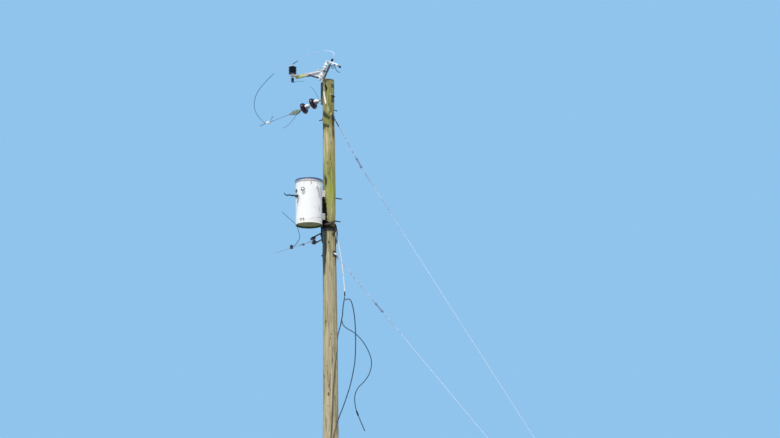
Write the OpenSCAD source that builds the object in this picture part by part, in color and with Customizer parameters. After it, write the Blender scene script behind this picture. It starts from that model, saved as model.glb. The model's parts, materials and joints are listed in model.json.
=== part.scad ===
// Single-phase transformer hung on a guyed wooden dead-end pole.
// Z is up, the origin is the middle of the pole at ground level, and the tank hangs towards -Y.

/* [Pole] */
// Height of the pole above the ground
pole_h = 8840; // [8400:10:9600]
// Diameter of the pole at its top
pole_top_d = 166; // [150:1:190]
// Diameter of the pole at the ground
pole_base_d = 266; // [240:1:300]
// Depth of the flats cut in the pole for the narrow fittings
flat_depth = 5; // [4:0.5:8]

/* [Tank] */
// Outside diameter of the tank
tank_d = 386; // [340:1:420]
// Height of the tank wall
tank_h = 655; // [560:5:700]
// Height of the tank's lower edge above the ground
tank_z = 6550; // [6500:10:6600]
// Thickness of the tank wall
tank_t = 3; // [2:0.5:5]
// How far the bottom plate sits above the tank's lower edge
bottom_recess = 25; // [15:1:40]
// Height of the clamp band under the lid
band_h = 26; // [20:1:34]
// Rise of the domed lid above its rim
dome_h = 26; // [15:1:40]

/* [Hangers] */
// Clear distance from the pole's flat to the tank wall
standoff = 58; // [50:1:80]
// Width of a hanger plate
hanger_w = 80; // [70:1:90]
// Height of a hanger plate
hanger_h = 100; // [90:1:120]
// Thickness of the hanger's plate and sides
hanger_t = 6; // [5:0.5:8]
// Distance of the upper hanger bolt below the lid's edge
upper_bolt_drop = 185; // [165:5:205]
// Distance from the upper hanger bolt down to the lower one
bolt_drop = 350; // [330:5:360]
// Diameter of all the through bolts
bolt_d = 16; // [12:1:20]
// Length of the upper hanger bolt that stands out behind its nut
bolt_tail = 118; // [60:1:130]

/* [Bushings] */
// Angle of the right low-voltage bushing, from the tank's front
lv_right_a = 36; // [25:1:60]
// Angle of the front low-voltage bushing
lv_front_a = 8; // [-5:1:12]
// Angle of the open port without its bushing
lv_port_a = -8; // [-30:1:-4]
// Distance of the right bushing and of the open port below the lid's edge
lv_high_drop = 155; // [125:5:175]
// Distance of the front bushing below the lid's edge
lv_low_drop = 247; // [235:1:285]
// Angle of the high-voltage bushing
hv_a = -118; // [-130:1:-100]
// Tilt of the high-voltage bushing above level
hv_tilt = 40; // [30:1:50]
// Length of the high-voltage porcelain
hv_len = 200; // [160:5:220]

/* [Line hardware] */
// Turn of the line from -X towards -Y
line_turn = 26; // [15:1:40]
// Distance of the dead-end eye bolt below the pole's top
eye_drop = 278; // [260:2:288]
// Slope of the insulator string below level
string_drop = 15.5; // [13:0.5:17]
// Diameter of a disc insulator
disc_d = 178; // [156:1:190]
// Distance from one disc insulator to the next
disc_pitch = 171; // [165:1:190]
// Diameter of the line and neutral conductors
wire_d = 10; // [8:0.5:12]

/* [Top bracket] */
// Rise of the bracket's top above the pole's top
bracket_rise = 182; // [170:2:200]
// Width of the bracket channel
channel_w = 40; // [36:1:50]
// Depth of the bracket channel
channel_d = 42; // [36:1:50]
// Thickness of the bracket steel
steel_t = 5; // [4:0.5:6]
// Reach of the steel arm from the middle of the pole
arm_reach = 350; // [330:5:380]
// Side of the square insulating bar
bar_s = 42; // [36:1:46]
// Length of insulating bar that shows beyond the arm
bar_len = 235; // [215:5:260]
// Diameter of the arrester's sheds
arrester_d = 122; // [110:1:130]
// Height of the arrester's housing
arrester_h = 126; // [116:1:126]

/* [Fuse cutout] */
// Sideways distance of the cutout from the line
cutout_y = 115; // [115:1:130]
// Lean of the cutout from upright
cutout_lean = 28.5; // [20:0.5:35]
// Length of the cutout's porcelain
cutout_len = 290; // [280:2:310]
// Diameter of the cutout's sheds
cutout_d = 82; // [76:1:86]
// Distance from the porcelain's axis to the fuse tube's axis
tube_gap = 64; // [63:1:90]
// Diameter of the fuse tube
tube_d = 24; // [20:1:28]

/* [Guys] */
// Distance of the upper guy bolt below the pole's top
upper_guy_drop = 605; // [540:5:640]
// Height of the lower guy bolt
lower_guy_z = 6150; // [6100:5:6200]
// Distance of the anchor eye from the pole
anchor_reach = 5130; // [4800:10:5400]
// Height of the anchor eye
anchor_z = 270; // [200:10:400]
// Diameter of the guy strand
guy_d = 10; // [8:0.5:12]

/* [Low-voltage side] */
// Height of the pole band
band_z = 6490; // [6470:5:6500]
// Height of the band's strap
strap_h = 36; // [30:1:44]
// Diameter of the neutral spool
spool_d = 86; // [74:1:94]
// Height of the neutral spool
spool_h = 90; // [74:1:96]
// Diameter of the service leads
lead_d = 11; // [9:0.5:13]

/* [Hidden] */
$fn = 64;

seat = 0.3;
bolt_r = bolt_d / 2;
bore_r = bolt_r + 0.5;
tank_r = tank_d / 2;
lid_z = tank_z + tank_h;
upper_bolt_z = lid_z - upper_bolt_drop;
lower_bolt_z = upper_bolt_z - bolt_drop;
lv_high_z = lid_z - lv_high_drop;
lv_low_z = lid_z - lv_low_drop;
eye_z = pole_h - eye_drop;
bracket_top = pole_h + bracket_rise;
upper_guy_z = pole_h - upper_guy_drop;
rim_t = 12;
washer_s = 56;
washer_t = 5;
nut_s = 26;
nut_t = 14;

function pole_r(z) = (pole_base_d + (pole_top_d - pole_base_d) * z / pole_h) / 2;
function flat_x(z, h, depth) = pole_r(z + h / 2) - depth;
function reach_on(r, half) = r - sqrt(r * r - half * half);

// A hanger's plate stands mostly above its bolt
hanger_low = 34 - hanger_h / 2;

hanger_flat_depth = reach_on(pole_r(upper_bolt_z), hanger_w / 2) + 1;
hanger_x = flat_x(upper_bolt_z, hanger_h, hanger_flat_depth);
tank_y = -(hanger_x + standoff + tank_r);
bracket_bottom = eye_z - 90;
channel_x = flat_x(pole_h - 20, 40, flat_depth);
channel_out = channel_x + channel_d;
arm_z = bracket_top - 18;
arm_drop = 125;
arm_lip = 26;
guy_seat_h = 90;
upper_guy_x = flat_x(upper_guy_z, guy_seat_h, flat_depth);
lower_guy_x = flat_x(lower_guy_z, guy_seat_h, flat_depth);

// A unit vector and the ring of points round a route's point
function unit(v) = v / norm(v);
function tangent(p, i) = unit(p[min(i + 1, len(p) - 1)] - p[max(i - 1, 0)]);
function ring(p, i, r, n, side) =
    let (t = tangent(p, i), a = unit(cross(side, t)), b = cross(t, a))
    [for (k = [0:n - 1]) p[i] + r * (cos(360 * k / n) * a + sin(360 * k / n) * b)];

// A round tube along the points of a route; side is a direction that the route never takes
module wire(p, r, n = 8, side = [0, 0, 1]) {
    last = len(p) - 1;
    points = [for (i = [0:last]) each ring(p, i, r, n, side)];
    sides = [for (i = [0:last - 1], k = [0:n - 1])
        [i * n + k, (i + 1) * n + k, (i + 1) * n + (k + 1) % n, i * n + (k + 1) % n]];
    ends = [[for (k = [0:n - 1]) k], [for (k = [0:n - 1]) last * n + n - 1 - k]];
    polyhedron(points, concat(ends, sides));
}

// A straight round bar from one point to another
module bar(a, b, r) {
    v = b - a;
    translate(a)
        rotate([0, acos(v[2] / norm(v)), atan2(v[1], v[0])])
            cylinder(h = norm(v), r = r, $fn = 24);
}

// Places: x runs outwards, along the line or from the tank's axis
module on_line() rotate([0, 0, 180 + line_turn]) children();
module on_guy() rotate([0, 0, line_turn]) children();
module on_tank(a, z) translate([0, tank_y, z]) rotate([0, 0, a - 90]) children();
module on_hanger(z) translate([0, 0, z]) rotate([0, 0, -90]) children();

// A flat cut in the pole, and a bore through it, both along x
module pole_flat(z, h, depth)
    translate([flat_x(z, h, depth), -pole_base_d / 2, z - h / 2])
        cube([pole_base_d, pole_base_d, h]);
module pole_bore(z)
    translate([-pole_base_d, 0, z])
        rotate([0, 90, 0])
            cylinder(h = 2 * pole_base_d, r = bore_r, $fn = 32);

// A through bolt with its square washers, head and nut; a and b are the seats before and behind
module through_bolt(z, a, b, tail, head = nut_t, front = washer_s) {
    bar([-b - washer_t - nut_t - tail, 0, z], [a + washer_t + head, 0, z], bolt_r);
    translate([a, -front / 2, z - front / 2])
        cube([washer_t, front, front]);
    translate([-b - washer_t, -washer_s / 2, z - washer_s / 2])
        cube([washer_t, washer_s, washer_s]);
    translate([a + washer_t, -nut_s / 2, z - nut_s / 2])
        cube([head, nut_s, nut_s]);
    translate([-b - washer_t - nut_t, -nut_s / 2, z - nut_s / 2])
        cube([nut_t, nut_s, nut_s]);
}

module pole() color("#a89c68")
    difference() {
        cylinder(h = pole_h, d1 = pole_base_d, d2 = pole_top_d, $fn = 96);
        for (z = [upper_bolt_z, lower_bolt_z])
            on_hanger(z) {
                translate([hanger_x, -pole_base_d / 2, -washer_s / 2 - seat])
                    cube([pole_base_d, pole_base_d, washer_s / 2 + hanger_low + hanger_h + 2 * seat]);
                mirror([1, 0, 0])
                    translate([flat_x(z, washer_s, flat_depth), -pole_base_d / 2, -washer_s / 2 - seat])
                        cube([pole_base_d, pole_base_d, washer_s + 2 * seat]);
                rotate([0, 90, 0])
                    cylinder(h = 2 * pole_base_d, r = bore_r, center = true, $fn = 32);
            }
        on_line() {
            translate([channel_x, -pole_base_d / 2, bracket_bottom])
                cube([pole_base_d, pole_base_d, pole_h]);
            for (z = bracket_bolt_z)
                mirror([1, 0, 0]) pole_flat(z, washer_s, flat_depth);
            mirror([1, 0, 0]) pole_flat(eye_z, washer_s, flat_depth);
            for (z = concat(bracket_bolt_z, [eye_z, upper_guy_z, lower_guy_z]))
                pole_bore(z);
            for (z = [upper_guy_z, lower_guy_z])
                pole_flat(z, washer_s, flat_depth);
        }
        on_guy()
            for (z = [upper_guy_z, lower_guy_z])
                pole_flat(z, guy_seat_h, flat_depth);
    }

bracket_bolt_z = [eye_z + 170, eye_z - 62];

module tank_wall() color("#e9e9e6")
    translate([0, tank_y, tank_z])
        difference() {
            union() {
                cylinder(h = tank_h, r = tank_r, $fn = 128);
                rotate([0, 0, hv_a - 90])
                    translate([tank_r - 20, 0, hv_z - tank_z])
                        rotate([0, 90 - hv_tilt, 0])
                            cylinder(h = hv_boss, r = hv_boss_r);
            }
            translate([0, 0, -1])
                cylinder(h = tank_h + 2, r = tank_r - tank_t, $fn = 128);
            rotate([0, 0, lv_port_a - 90])
                translate([0, 0, lv_high_z - tank_z])
                    rotate([0, 90, 0])
                        cylinder(h = tank_d, r = 18);
        }

hv_z = lid_z - 135;
hv_boss = 70;
hv_boss_r = 44;

module tank_bottom() color("#6d7048")
    translate([0, tank_y, tank_z + bottom_recess])
        cylinder(h = 4, r = tank_r - tank_t - seat, $fn = 128);

// The lid: a rolled rim over the wall's edge and a shallow dome
module tank_lid() color("#8b93a5")
    translate([0, tank_y, lid_z])
        rotate_extrude($fn = 128)
            polygon(concat(
                [[0, 0], [tank_r + 3, 0], [tank_r + 7, 3], [tank_r + 7, rim_t - 3], [tank_r + 3, rim_t]],
                [for (k = [0:10]) let (a = 90 * k / 10)
                    [(tank_r - 8) * cos(a), rim_t + dome_h * sin(a)]]));

// The clamp band: a rolled strip under the rim with a bolted lug
module lid_band() color("#d8d2cb")
    difference() {
        union() {
            translate([0, tank_y, lid_z - band_h])
                rotate_extrude($fn = 128)
                    polygon([
                        [tank_r + seat, 0], [tank_r + 4, 0], [tank_r + 7, 4], [tank_r + 7, band_h - 5],
                        [tank_r + 5, band_h - seat], [tank_r + seat, band_h - seat]]);
            on_tank(-75, lid_z - band_h)
                translate([tank_r + 2, -16, 2])
                    cube([26, 32, band_h - 8]);
        }
        on_tank(-75, lid_z - band_h)
            translate([tank_r + 7, -3, -1])
                cube([30, 6, band_h + 2]);
    }

// Lifting lugs at both sides of the tank, bent plates with an eye
module lifting_lugs() color("#dcdcd8")
    for (a = [92, -92])
        on_tank(a, lug_z)
            difference() {
                translate([tank_r + seat, -5, -38])
                    rotate([90, 0, 90])
                        linear_extrude(height = 34)
                            polygon([[0, 0], [10, 0], [10, 76], [0, 76]]);
                translate([tank_r + 20, 20, 20])
                    rotate([90, 0, 0])
                        cylinder(h = 40, r = 8, $fn = 32);
                translate([tank_r + seat, -20, -60])
                    rotate([0, 28, 0])
                        cube([60, 40, 60]);
            }
lug_z = lid_z - 90;

// Two small welded bosses low on the tank's front
module ground_bosses() color("#b9b4a8")
    for (a = [24, 36])
        on_tank(a, tank_z + 62)
            difference() {
                rotate([0, 90, 0])
                    cylinder(h = tank_r + 12, r = 11, $fn = 32);
                rotate([0, 90, 0])
                    cylinder(h = tank_r + 13, r = 5, $fn = 32);
                translate([0, 0, -20])
                    cylinder(h = 40, r = tank_r + seat, $fn = 128);
            }

// A hanger: a plate against the pole with two sides welded to the tank, slotted from below
module hanger(z)
    on_hanger(z)
        difference() {
            union() {
                translate([hanger_x, -hanger_w / 2, hanger_low])
                    cube([hanger_t, hanger_w, hanger_h]);
                for (y = [-hanger_w / 2, hanger_w / 2 - hanger_t])
                    translate([hanger_x, y, hanger_low])
                        cube([standoff + 40, hanger_t, hanger_h]);
            }
            translate([-tank_y, 0, -hanger_h])
                cylinder(h = 2 * hanger_h, r = tank_r + seat, $fn = 128);
            rotate([0, 90, 0])
                cylinder(h = hanger_x + 20, r = bore_r, $fn = 32);
            translate([hanger_x - 5, -bore_r, -hanger_h])
                cube([20, 2 * bore_r, hanger_h]);
        }
module upper_hanger() color("#e6e2d6") hanger(upper_bolt_z);
module lower_hanger() color("#e6e2d6") hanger(lower_bolt_z);

module hanger_bolts() color("#55544f")
    for (z = [upper_bolt_z, lower_bolt_z])
        rotate([0, 0, -90])
            through_bolt(z, hanger_x + hanger_t, flat_x(z, washer_s, flat_depth),
                tail = z == upper_bolt_z ? bolt_tail : bolt_tail - 28);

// A low-voltage bushing: a clamp ring on the wall and a ribbed porcelain; the right one is low
lv_len = 52;
lv_low_len = 26;
lv_r = 21;
module low_profile()
    rotate_extrude()
        polygon([
            [0, -25], [30, -25], [30, 9], [26, 12], [lv_r, 12], [lv_r, lv_low_len - 5],
            [lv_r - 5, lv_low_len], [0, lv_low_len]]);
module lv_profile()
    rotate_extrude()
        polygon([
            [0, -25], [30, -25], [30, 9], [26, 12], [lv_r, 12], [lv_r, 17], [lv_r + 4, 20], [lv_r + 4, 23],
            [lv_r - 1, 25], [lv_r - 1, 32], [lv_r + 2, 34], [lv_r + 2, 37], [lv_r - 3, 40],
            [lv_r - 5, lv_len], [0, lv_len]]);
module lv_bushing(a, z)
    on_tank(a, z)
        difference() {
            translate([tank_r, 0, 0])
                rotate([0, 90, 0])
                    children();
            translate([0, 0, -60])
                cylinder(h = 120, r = tank_r + seat, $fn = 128);
        }
module lv_bushing_right() color("#d9d7d2") lv_bushing(lv_right_a, lv_high_z) low_profile();
module lv_bushing_front() color("#d9d7d2") lv_bushing(lv_front_a, lv_low_z) lv_profile();

// The ring left round the open port
module lv_port() color("#6f6d68")
    on_tank(lv_port_a, lv_high_z)
        difference() {
            rotate([0, 90, 0])
                cylinder(h = tank_r + 7, r = 29);
            rotate([0, 90, 0])
                cylinder(h = tank_r + 8, r = 18);
            translate([0, 0, -60])
                cylinder(h = 120, r = tank_r + seat, $fn = 128);
        }

// Studs and eyelets on the three bushings
module stud(from, len, r) {
    translate([from, 0, 0])
        rotate([0, 90, 0])
            cylinder(h = len, r = r, $fn = 32);
    translate([from + len - 6, 0, 0])
        rotate([0, 90, 0])
            cylinder(h = 6, r = r + 5, $fn = 6);
}
module bushing_terminals() color("#57504a") {
    on_tank(lv_right_a, lv_high_z)
        stud(tank_r + lv_low_len, 10, 5);
    on_tank(lv_front_a, lv_low_z)
        stud(tank_r + lv_len, 24, 7);
    on_hv()
        translate([0, 0, hv_len + 14])
            cylinder(h = 26, r = 9, $fn = 32);
}

// The high-voltage bushing stands on its boss; z is its axis here
module on_hv()
    on_tank(hv_a, hv_z)
        translate([tank_r - 20, 0, 0])
            rotate([0, 90 - hv_tilt, 0])
                translate([0, 0, hv_boss])
                    children();
hv_sheds = 4;
module hv_bushing() color("#8d9299")
    on_hv()
        rotate_extrude()
            polygon(concat(
                [[0, 0], [40, 0], [40, 12], [26, 16]],
                [for (i = [0:hv_sheds - 1]) let (z = 26 + i * (hv_len - 30) / hv_sheds, r = 46 - 4 * i) each
                    [[24 - i, z], [r, z + 6], [r, z + 10], [23 - i, z + 22]]],
                [[18, hv_len], [18, hv_len + 14], [0, hv_len + 14]]));

// The top bracket: a channel on the pole, the arm with its web, the bar's socket and a side arm
module top_bracket() color("#8f938f")
    on_line()
        difference() {
            union() {
                difference() {
                    translate([channel_x, -channel_w / 2, bracket_bottom])
                        cube([channel_d, channel_w, bracket_top - bracket_bottom]);
                    translate([channel_x + steel_t, -channel_w / 2 + steel_t, bracket_bottom - 1])
                        cube([channel_d, channel_w - 2 * steel_t,
                            bracket_top - bracket_bottom - 2 * steel_t]);
                }
                translate([channel_out - 8, -channel_w / 2, bracket_top - steel_t])
                    cube([arm_reach - channel_out + 6, channel_w, steel_t]);
                translate([channel_out - 8, channel_w / 2 - steel_t, bracket_top - arm_lip])
                    cube([arm_reach - channel_out + 6, steel_t, arm_lip]);
                translate([0, steel_t / 2, 0])
                    rotate([90, 0, 0])
                        linear_extrude(height = steel_t)
                            polygon([
                                [channel_x + 2, bracket_top - 2], [arm_reach - 3, bracket_top - 2],
                                [arm_reach - 3, arm_z - bar_s / 2 + 3],
                                [channel_out - 2, arm_z - arm_drop + 3],
                                [channel_x + 2, arm_z - arm_drop + 3]]);
                brace();
                translate([arm_reach - 6, -bar_s / 2 - steel_t, arm_z - bar_s / 2 - steel_t])
                    cube([52, bar_s + 2 * steel_t, bar_s + 2 * steel_t]);
                side_arm();
            }
            translate([arm_reach, -bar_s / 2 - seat, arm_z - bar_s / 2 - seat])
                cube([60, bar_s + 2 * seat, bar_s + 2 * seat]);
            for (z = concat(bracket_bolt_z, [eye_z]))
                pole_bore(z);
        }

// The slanting lower flange of the arm
brace_a = atan2(arm_drop - bar_s / 2, arm_reach - channel_out);
module brace()
    translate([channel_out - 2, 1 - channel_w / 2, arm_z - arm_drop])
        rotate([0, -brace_a, 0])
            cube([(arm_reach - channel_out) / cos(brace_a), channel_w - 2, steel_t]);

// The cutout's place: z runs along its porcelain, and its fuse tube is towards -x
cutout_u = 2;
cutout_z = bracket_top - 65;
clamp_x = 86;
module on_cutout()
    on_line()
        translate([cutout_u, cutout_y, cutout_z])
            rotate([0, -cutout_lean, 0])
                children();
module side_arm()
    translate([cutout_u, cutout_y, cutout_z])
        rotate([0, -cutout_lean, 0])
            translate([clamp_x, channel_w / 2 - cutout_y - 1, -20])
                cube([8, cutout_y - channel_w / 2 + 21, 40]);

module bracket_bolts() color("#4f4d48")
    on_line()
        for (z = bracket_bolt_z)
            through_bolt(z, channel_x + steel_t, flat_x(z, washer_s, flat_depth),
                head = 12, tail = 6, front = channel_w - 2 * steel_t - 2);

module insulating_bar() color("#a9a860")
    on_line()
        translate([arm_reach, -bar_s / 2, arm_z - bar_s / 2])
            cube([bar_len, bar_s, bar_s]);

// The arrester stands on a strap at the bar's end
arrester_u = arm_reach + bar_len + 66;
strap_z = arm_z + bar_s / 2;
arrester_z = strap_z + 168 - arrester_h;
module arrester_housing() color("#20242e")
    on_line()
        translate([arrester_u, 0, arrester_z])
            rotate_extrude($fn = 96)
                polygon(concat(
                    [[0, 0], [34, 0]],
                    [for (i = [0:4])
                        let (z = 5 + i * (arrester_h - 8) / 5, r = arrester_d / 2 - (i % 2) * 4)
                        each [[42, z], [r, z + 5], [r, z + 11], [42, z + 18]]],
                    [[34, arrester_h], [0, arrester_h]]));
module arrester_fittings() color("#7c7a72")
    on_line() {
        difference() {
            union() {
                translate([arrester_u - 120, -20, strap_z])
                    cube([145, 40, 6]);
                translate([arrester_u, 0, strap_z + 6])
                    cylinder(h = arrester_z - strap_z - 6, r = 33);
            }
            translate([arrester_u - 95, 0, strap_z - 1])
                cylinder(h = 10, r = 7, $fn = 32);
        }
        translate([arrester_u, 0, strap_z - 22])
            cylinder(h = 22, r = 10, $fn = 32);
        translate([arrester_u, 0, strap_z - 84])
            cylinder(h = 62, r = 19);
        translate([arrester_u, 0, strap_z + 168])
            cylinder(h = 8, r = 24);
        translate([arrester_u, 0, strap_z + 176])
            cylinder(h = 22, r = 8, $fn = 32);
    }

// The cutout's porcelain, with two sheds on each side of the clamp
module cutout_porcelain() color("#dddcd8")
    on_cutout()
        rotate_extrude()
            polygon(concat(
                [[0, -cutout_len / 2], [24, -cutout_len / 2]],
                shed(-cutout_len / 2 + 26), shed(-cutout_len / 2 + 66),
                [[23, -20], [23, 20]],
                shed(cutout_len / 2 - 96), shed(cutout_len / 2 - 56),
                [[24, cutout_len / 2], [0, cutout_len / 2]]));
function shed(z) = [[23, z], [cutout_d / 2, z + 5], [cutout_d / 2, z + 10], [24, z + 24]];

module cutout_clamp() color("#8e918f")
    on_cutout()
        difference() {
            union() {
                cylinder(h = 30, r = 33, center = true);
                translate([0, -15, -15])
                    cube([clamp_x, 30, 30]);
            }
            cylinder(h = 40, r = 23 + seat, center = true);
            translate([44, -9, -20])
                cube([clamp_x - 54, 18, 40]);
        }

// The upper end: a cap on the porcelain, the hood over the fuse tube, hooks and the terminal
hood_z = cutout_len / 2 + seat;
hood_end = -tube_gap - 144;
module cutout_top() color("#c9cbc8")
    on_cutout() {
        translate([0, 0, hood_z])
            cylinder(h = 16, r = 30);
        difference() {
            translate([hood_end, -16, hood_z + 2])
                cube([-hood_end, 32, 20]);
            translate([hood_end - 1, -12, hood_z + 1])
                cube([-hood_end - 30, 24, 13]);
        }
        translate([-tube_gap - 4, 0, hood_z + 15])
            cylinder(h = 22, r = 11, $fn = 32);
        translate([-tube_gap - 4, 0, hood_z + 36])
            cylinder(h = 44, r = 14, $fn = 32);
        for (y = [-hook_y, hook_y])
            translate([hood_end + 40, y, hood_z - 14])
                rotate([90, 0, 0])
                    rotate_extrude(angle = 150, $fn = 48)
                        translate([26, 0])
                            circle(r = 4, $fn = 16);
        translate([hood_end + 62, -hook_y - 4, hood_z + 2])
            cube([10, 2 * hook_y + 8, 12]);
        translate([-tube_gap - 8, -8, hood_z - 9])
            cube([16, 16, 20]);
    }
hook_y = 26;

// The lower end: a foot on the porcelain and two ears with open seats for the fuse tube's pins
pin_z = -cutout_len / 2 + 8;
pin_r = 6;
ear_in = 20;
ear_t = 6;
pin_play = 0.06;
swing_room = 16;
module cutout_hinge() color("#b9bbb8")
    on_cutout()
        difference() {
            union() {
                translate([0, 0, -cutout_len / 2 - seat - 16])
                    cylinder(h = 16, r = 30);
                translate([-tube_gap + swing_room, -ear_in - ear_t, -cutout_len / 2 - seat - 16])
                    cube([tube_gap - 30, 2 * (ear_in + ear_t), 8]);
                for (y = [-ear_in - ear_t, ear_in])
                    translate([-tube_gap - 14, y, -cutout_len / 2 - seat - 16])
                        cube([swing_room + 20, ear_t, 46]);
            }
            translate([-tube_gap, 30, pin_z])
                rotate([90, 0, 0])
                    cylinder(h = 60, r = pin_r + pin_play, $fn = 48);
            translate([-tube_gap - pin_r - pin_play, -30, pin_z])
                cube([2 * (pin_r + pin_play), 60, 60]);
        }

module fuse_tube() color("#3a302c")
    on_cutout()
        translate([-tube_gap, 0, pin_z + 34])
            cylinder(h = cutout_len - 74, r = tube_d / 2);

// The fuse tube's ends: the pivot casting with its pins, and the upper ferrule with the pull ring
ferrule_z = pin_z + cutout_len - 40;
module fuse_ends() color("#8a857a")
    on_cutout() {
        difference() {
            translate([-tube_gap, 0, pin_z + 12])
                cylinder(h = 48, r = tube_d / 2 + 3, $fn = 48);
            translate([-tube_gap, 0, pin_z + 34])
                cylinder(h = 60, r = tube_d / 2, $fn = 64);
        }
        translate([-tube_gap - 9, -10, pin_z - 9])
            cube([18, 20, 24]);
        translate([-tube_gap, ear_in + ear_t, pin_z])
            rotate([90, 0, 0])
                cylinder(h = 2 * (ear_in + ear_t), r = pin_r, $fn = 48);
        difference() {
            translate([-tube_gap, 0, ferrule_z - 26])
                cylinder(h = 42, r = tube_d / 2 + 3, $fn = 48);
            translate([-tube_gap, 0, ferrule_z - 60])
                cylinder(h = 60, r = tube_d / 2, $fn = 64);
        }
        translate([-tube_gap - 52, -4, ferrule_z - 4])
            cube([38.5, 8, 12]);
        translate([-tube_gap - 66, 4, ferrule_z - 10])
            rotate([90, 0, 0])
                rotate_extrude($fn = 48)
                    translate([18, 0])
                        square([7, 8]);
    }

// Bare conductors; their points are along the line, across it, and up from what carries them
function over(run, z) = [for (p = run) p + [0, 0, z]];
jumper_top = [
    [-184, 115, 118], [-187, 113, 158], [-170, 111, 193], [-130, 108, 220], [-80, 104, 240],
    [10, 92, 262], [110, 78, 276], [220, 62, 282], [335, 45, 278], [445, 27, 264], [545, 12, 242],
    [610, 4, 222], [651, 0, 207], [700, 0, 205], [770, 0, 198], [850, 0, 181], [985, 0, 133]];
jumper_fall = [
    [1090, 0, 533], [1180, 0, 468], [1260, 0, 403], [1325, 0, 328], [1362, 0, 248], [1375, 0, 173],
    [1370, 0, 98], [1345, 0, 23], [1300, 0, -47], [1245, 0, -112], [1205, 0, -154], [1184, 0, -173],
    [1163.7, 0, -182.6], [1140.4, 0, -182.2]];
jumper_run = concat(over(jumper_top, bracket_top), over(jumper_fall, eye_z));
module jumper() color("#9da3a8") on_line() wire(jumper_run, 4.5, 8, [0, 1, 0]);

// The dead-end string: x runs along it from the eye
eye_x = channel_x + channel_d + 12;
module on_string(s)
    on_line()
        translate([eye_x, 0, eye_z])
            rotate([0, string_drop, 0])
                translate([s, 0, 0])
                    children();
module ring_y(r, w)
    rotate([90, 0, 0])
        rotate_extrude($fn = 48)
            translate([r, 0])
                circle(r = w, $fn = 20);

module eye_bolt() color("#6d6b64")
    on_line() {
        behind = flat_x(eye_z, washer_s, flat_depth) + washer_t;
        bar([-behind - nut_t - 20, 0, eye_z], [eye_x - 19, 0, eye_z], bolt_r);
        translate([-behind, -washer_s / 2, eye_z - washer_s / 2])
            cube([washer_t, washer_s, washer_s]);
        translate([-behind - nut_t, -nut_s / 2, eye_z - nut_s / 2])
            cube([nut_t, nut_s, nut_s]);
        translate([channel_x + steel_t, -nut_s / 2, eye_z - nut_s / 2])
            cube([nut_t, nut_s, nut_s]);
        translate([eye_x, 0, eye_z])
            ring_y(19, 7);
    }

// A disc: a cap towards the pole, a skirted porcelain and a pin away from the pole
disc_s = 104;
module disc_porcelain()
    rotate([0, 90, 0])
        rotate_extrude($fn = 96)
            polygon([
                [0, -14], [20, -14], [30, 2 + seat], [44, 4], [57, 9], [disc_d / 2 - 13, 20],
                [disc_d / 2 - 4, 34], [disc_d / 2, 50], [disc_d / 2 - 3, 55], [disc_d / 2 - 8, 54],
                [disc_d / 2 - 15, 40], [59, 35], [56, 52], [50, 52], [46, 35], [39, 35], [35, 54], [29, 54],
                [24, 30], [11, 30], [11, 8], [0, 8]]);
module disc_inner() color("#33191a") on_string(disc_s) disc_porcelain();
module disc_outer() color("#33191a") on_string(disc_s + disc_pitch) disc_porcelain();

module disc_fittings() color("#b8bab6")
    for (k = [0, 1])
        on_string(disc_s + k * disc_pitch) {
            rotate([0, 90, 0])
                rotate_extrude()
                    polygon([
                        [0, -54], [16, -54], [30, -45], [36, -30], [39, 2], [30 + seat, 2],
                        [20 + seat, -14 - seat], [0, -14 - seat]]);
            link_out = k == 0 ? disc_pitch - 62 : 84;
            bar([8 + seat, 0, 0], [link_out, 0, 0], 10);
            link_end(k);
        }
// The tongue that joins a cap to what is before it
module link_end(k) {
    if (k == 0)
        difference() {
            translate([-disc_s - 5, -13, -12])
                cube([disc_s - 43, 26, 24]);
            translate([-disc_s - 12, -7.4, -20])
                cube([40, 14.8, 40]);
        }
    if (k == 0)
        translate([5.5 - disc_s, 17, 0])
            rotate([90, 0, 0])
                cylinder(h = 34, r = 6, $fn = 32);
    if (k == 1)
        translate([-63, -12, -12])
            cube([13, 24, 24]);
}

// The strain clamp holds the conductor in a curved trough under two keepers
clamp_s = disc_s + disc_pitch + 86;
clamp_len = 229;
line_slope = 8.5;
module on_clamp()
    on_string(clamp_s)
        rotate([0, line_slope - string_drop, 0])
            children();
module strain_clamp() color("#85887f")
    on_clamp()
        difference() {
            union() {
                translate([0, 15, 0])
                    rotate([90, 0, 0])
                        linear_extrude(height = 30)
                            polygon([
                                [0, -12], [34, -14], [60, -36], [100, -42], [clamp_len, -12], [clamp_len, 6],
                                [160, 20], [90, 22], [34, 14], [0, 12]]);
                for (x = [88, 140])
                    translate([x, -21, -16])
                        cube([18, 42, 44]);
                for (x = [97, 149], y = [-17, 17])
                    translate([x, y, -40])
                        cylinder(h = 74, r = 5, $fn = 24);
            }
            translate([36, -6, -60])
                cube([20, 12, 90]);
        }

// The conductor leaves the clamp's outer end, and its cut tail comes out under the clamp
clamp_u = eye_x + clamp_s * cos(string_drop);
clamp_z = eye_z - clamp_s * sin(string_drop);
function along_line(d) =
    [clamp_u + (clamp_len + d) * cos(line_slope), 0, clamp_z - (clamp_len + d) * sin(line_slope)];
tail_run = [[84, 0, -47.4], [104, 0, -47.6], [122, 0, -60], [146, 0, -82], [183, 0, -107], [237, 0, -140],
    [280, 0, -160], [332, 0, -173], [385, 0, -177]];
tap_d = 400;
module line_conductor() color("#9b9da0") {
    on_line() bar(along_line(seat), along_line(560), wire_d / 2);
    on_clamp() wire(tail_run, wire_d / 2, 8, [0, 1, 0]);
}

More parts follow.
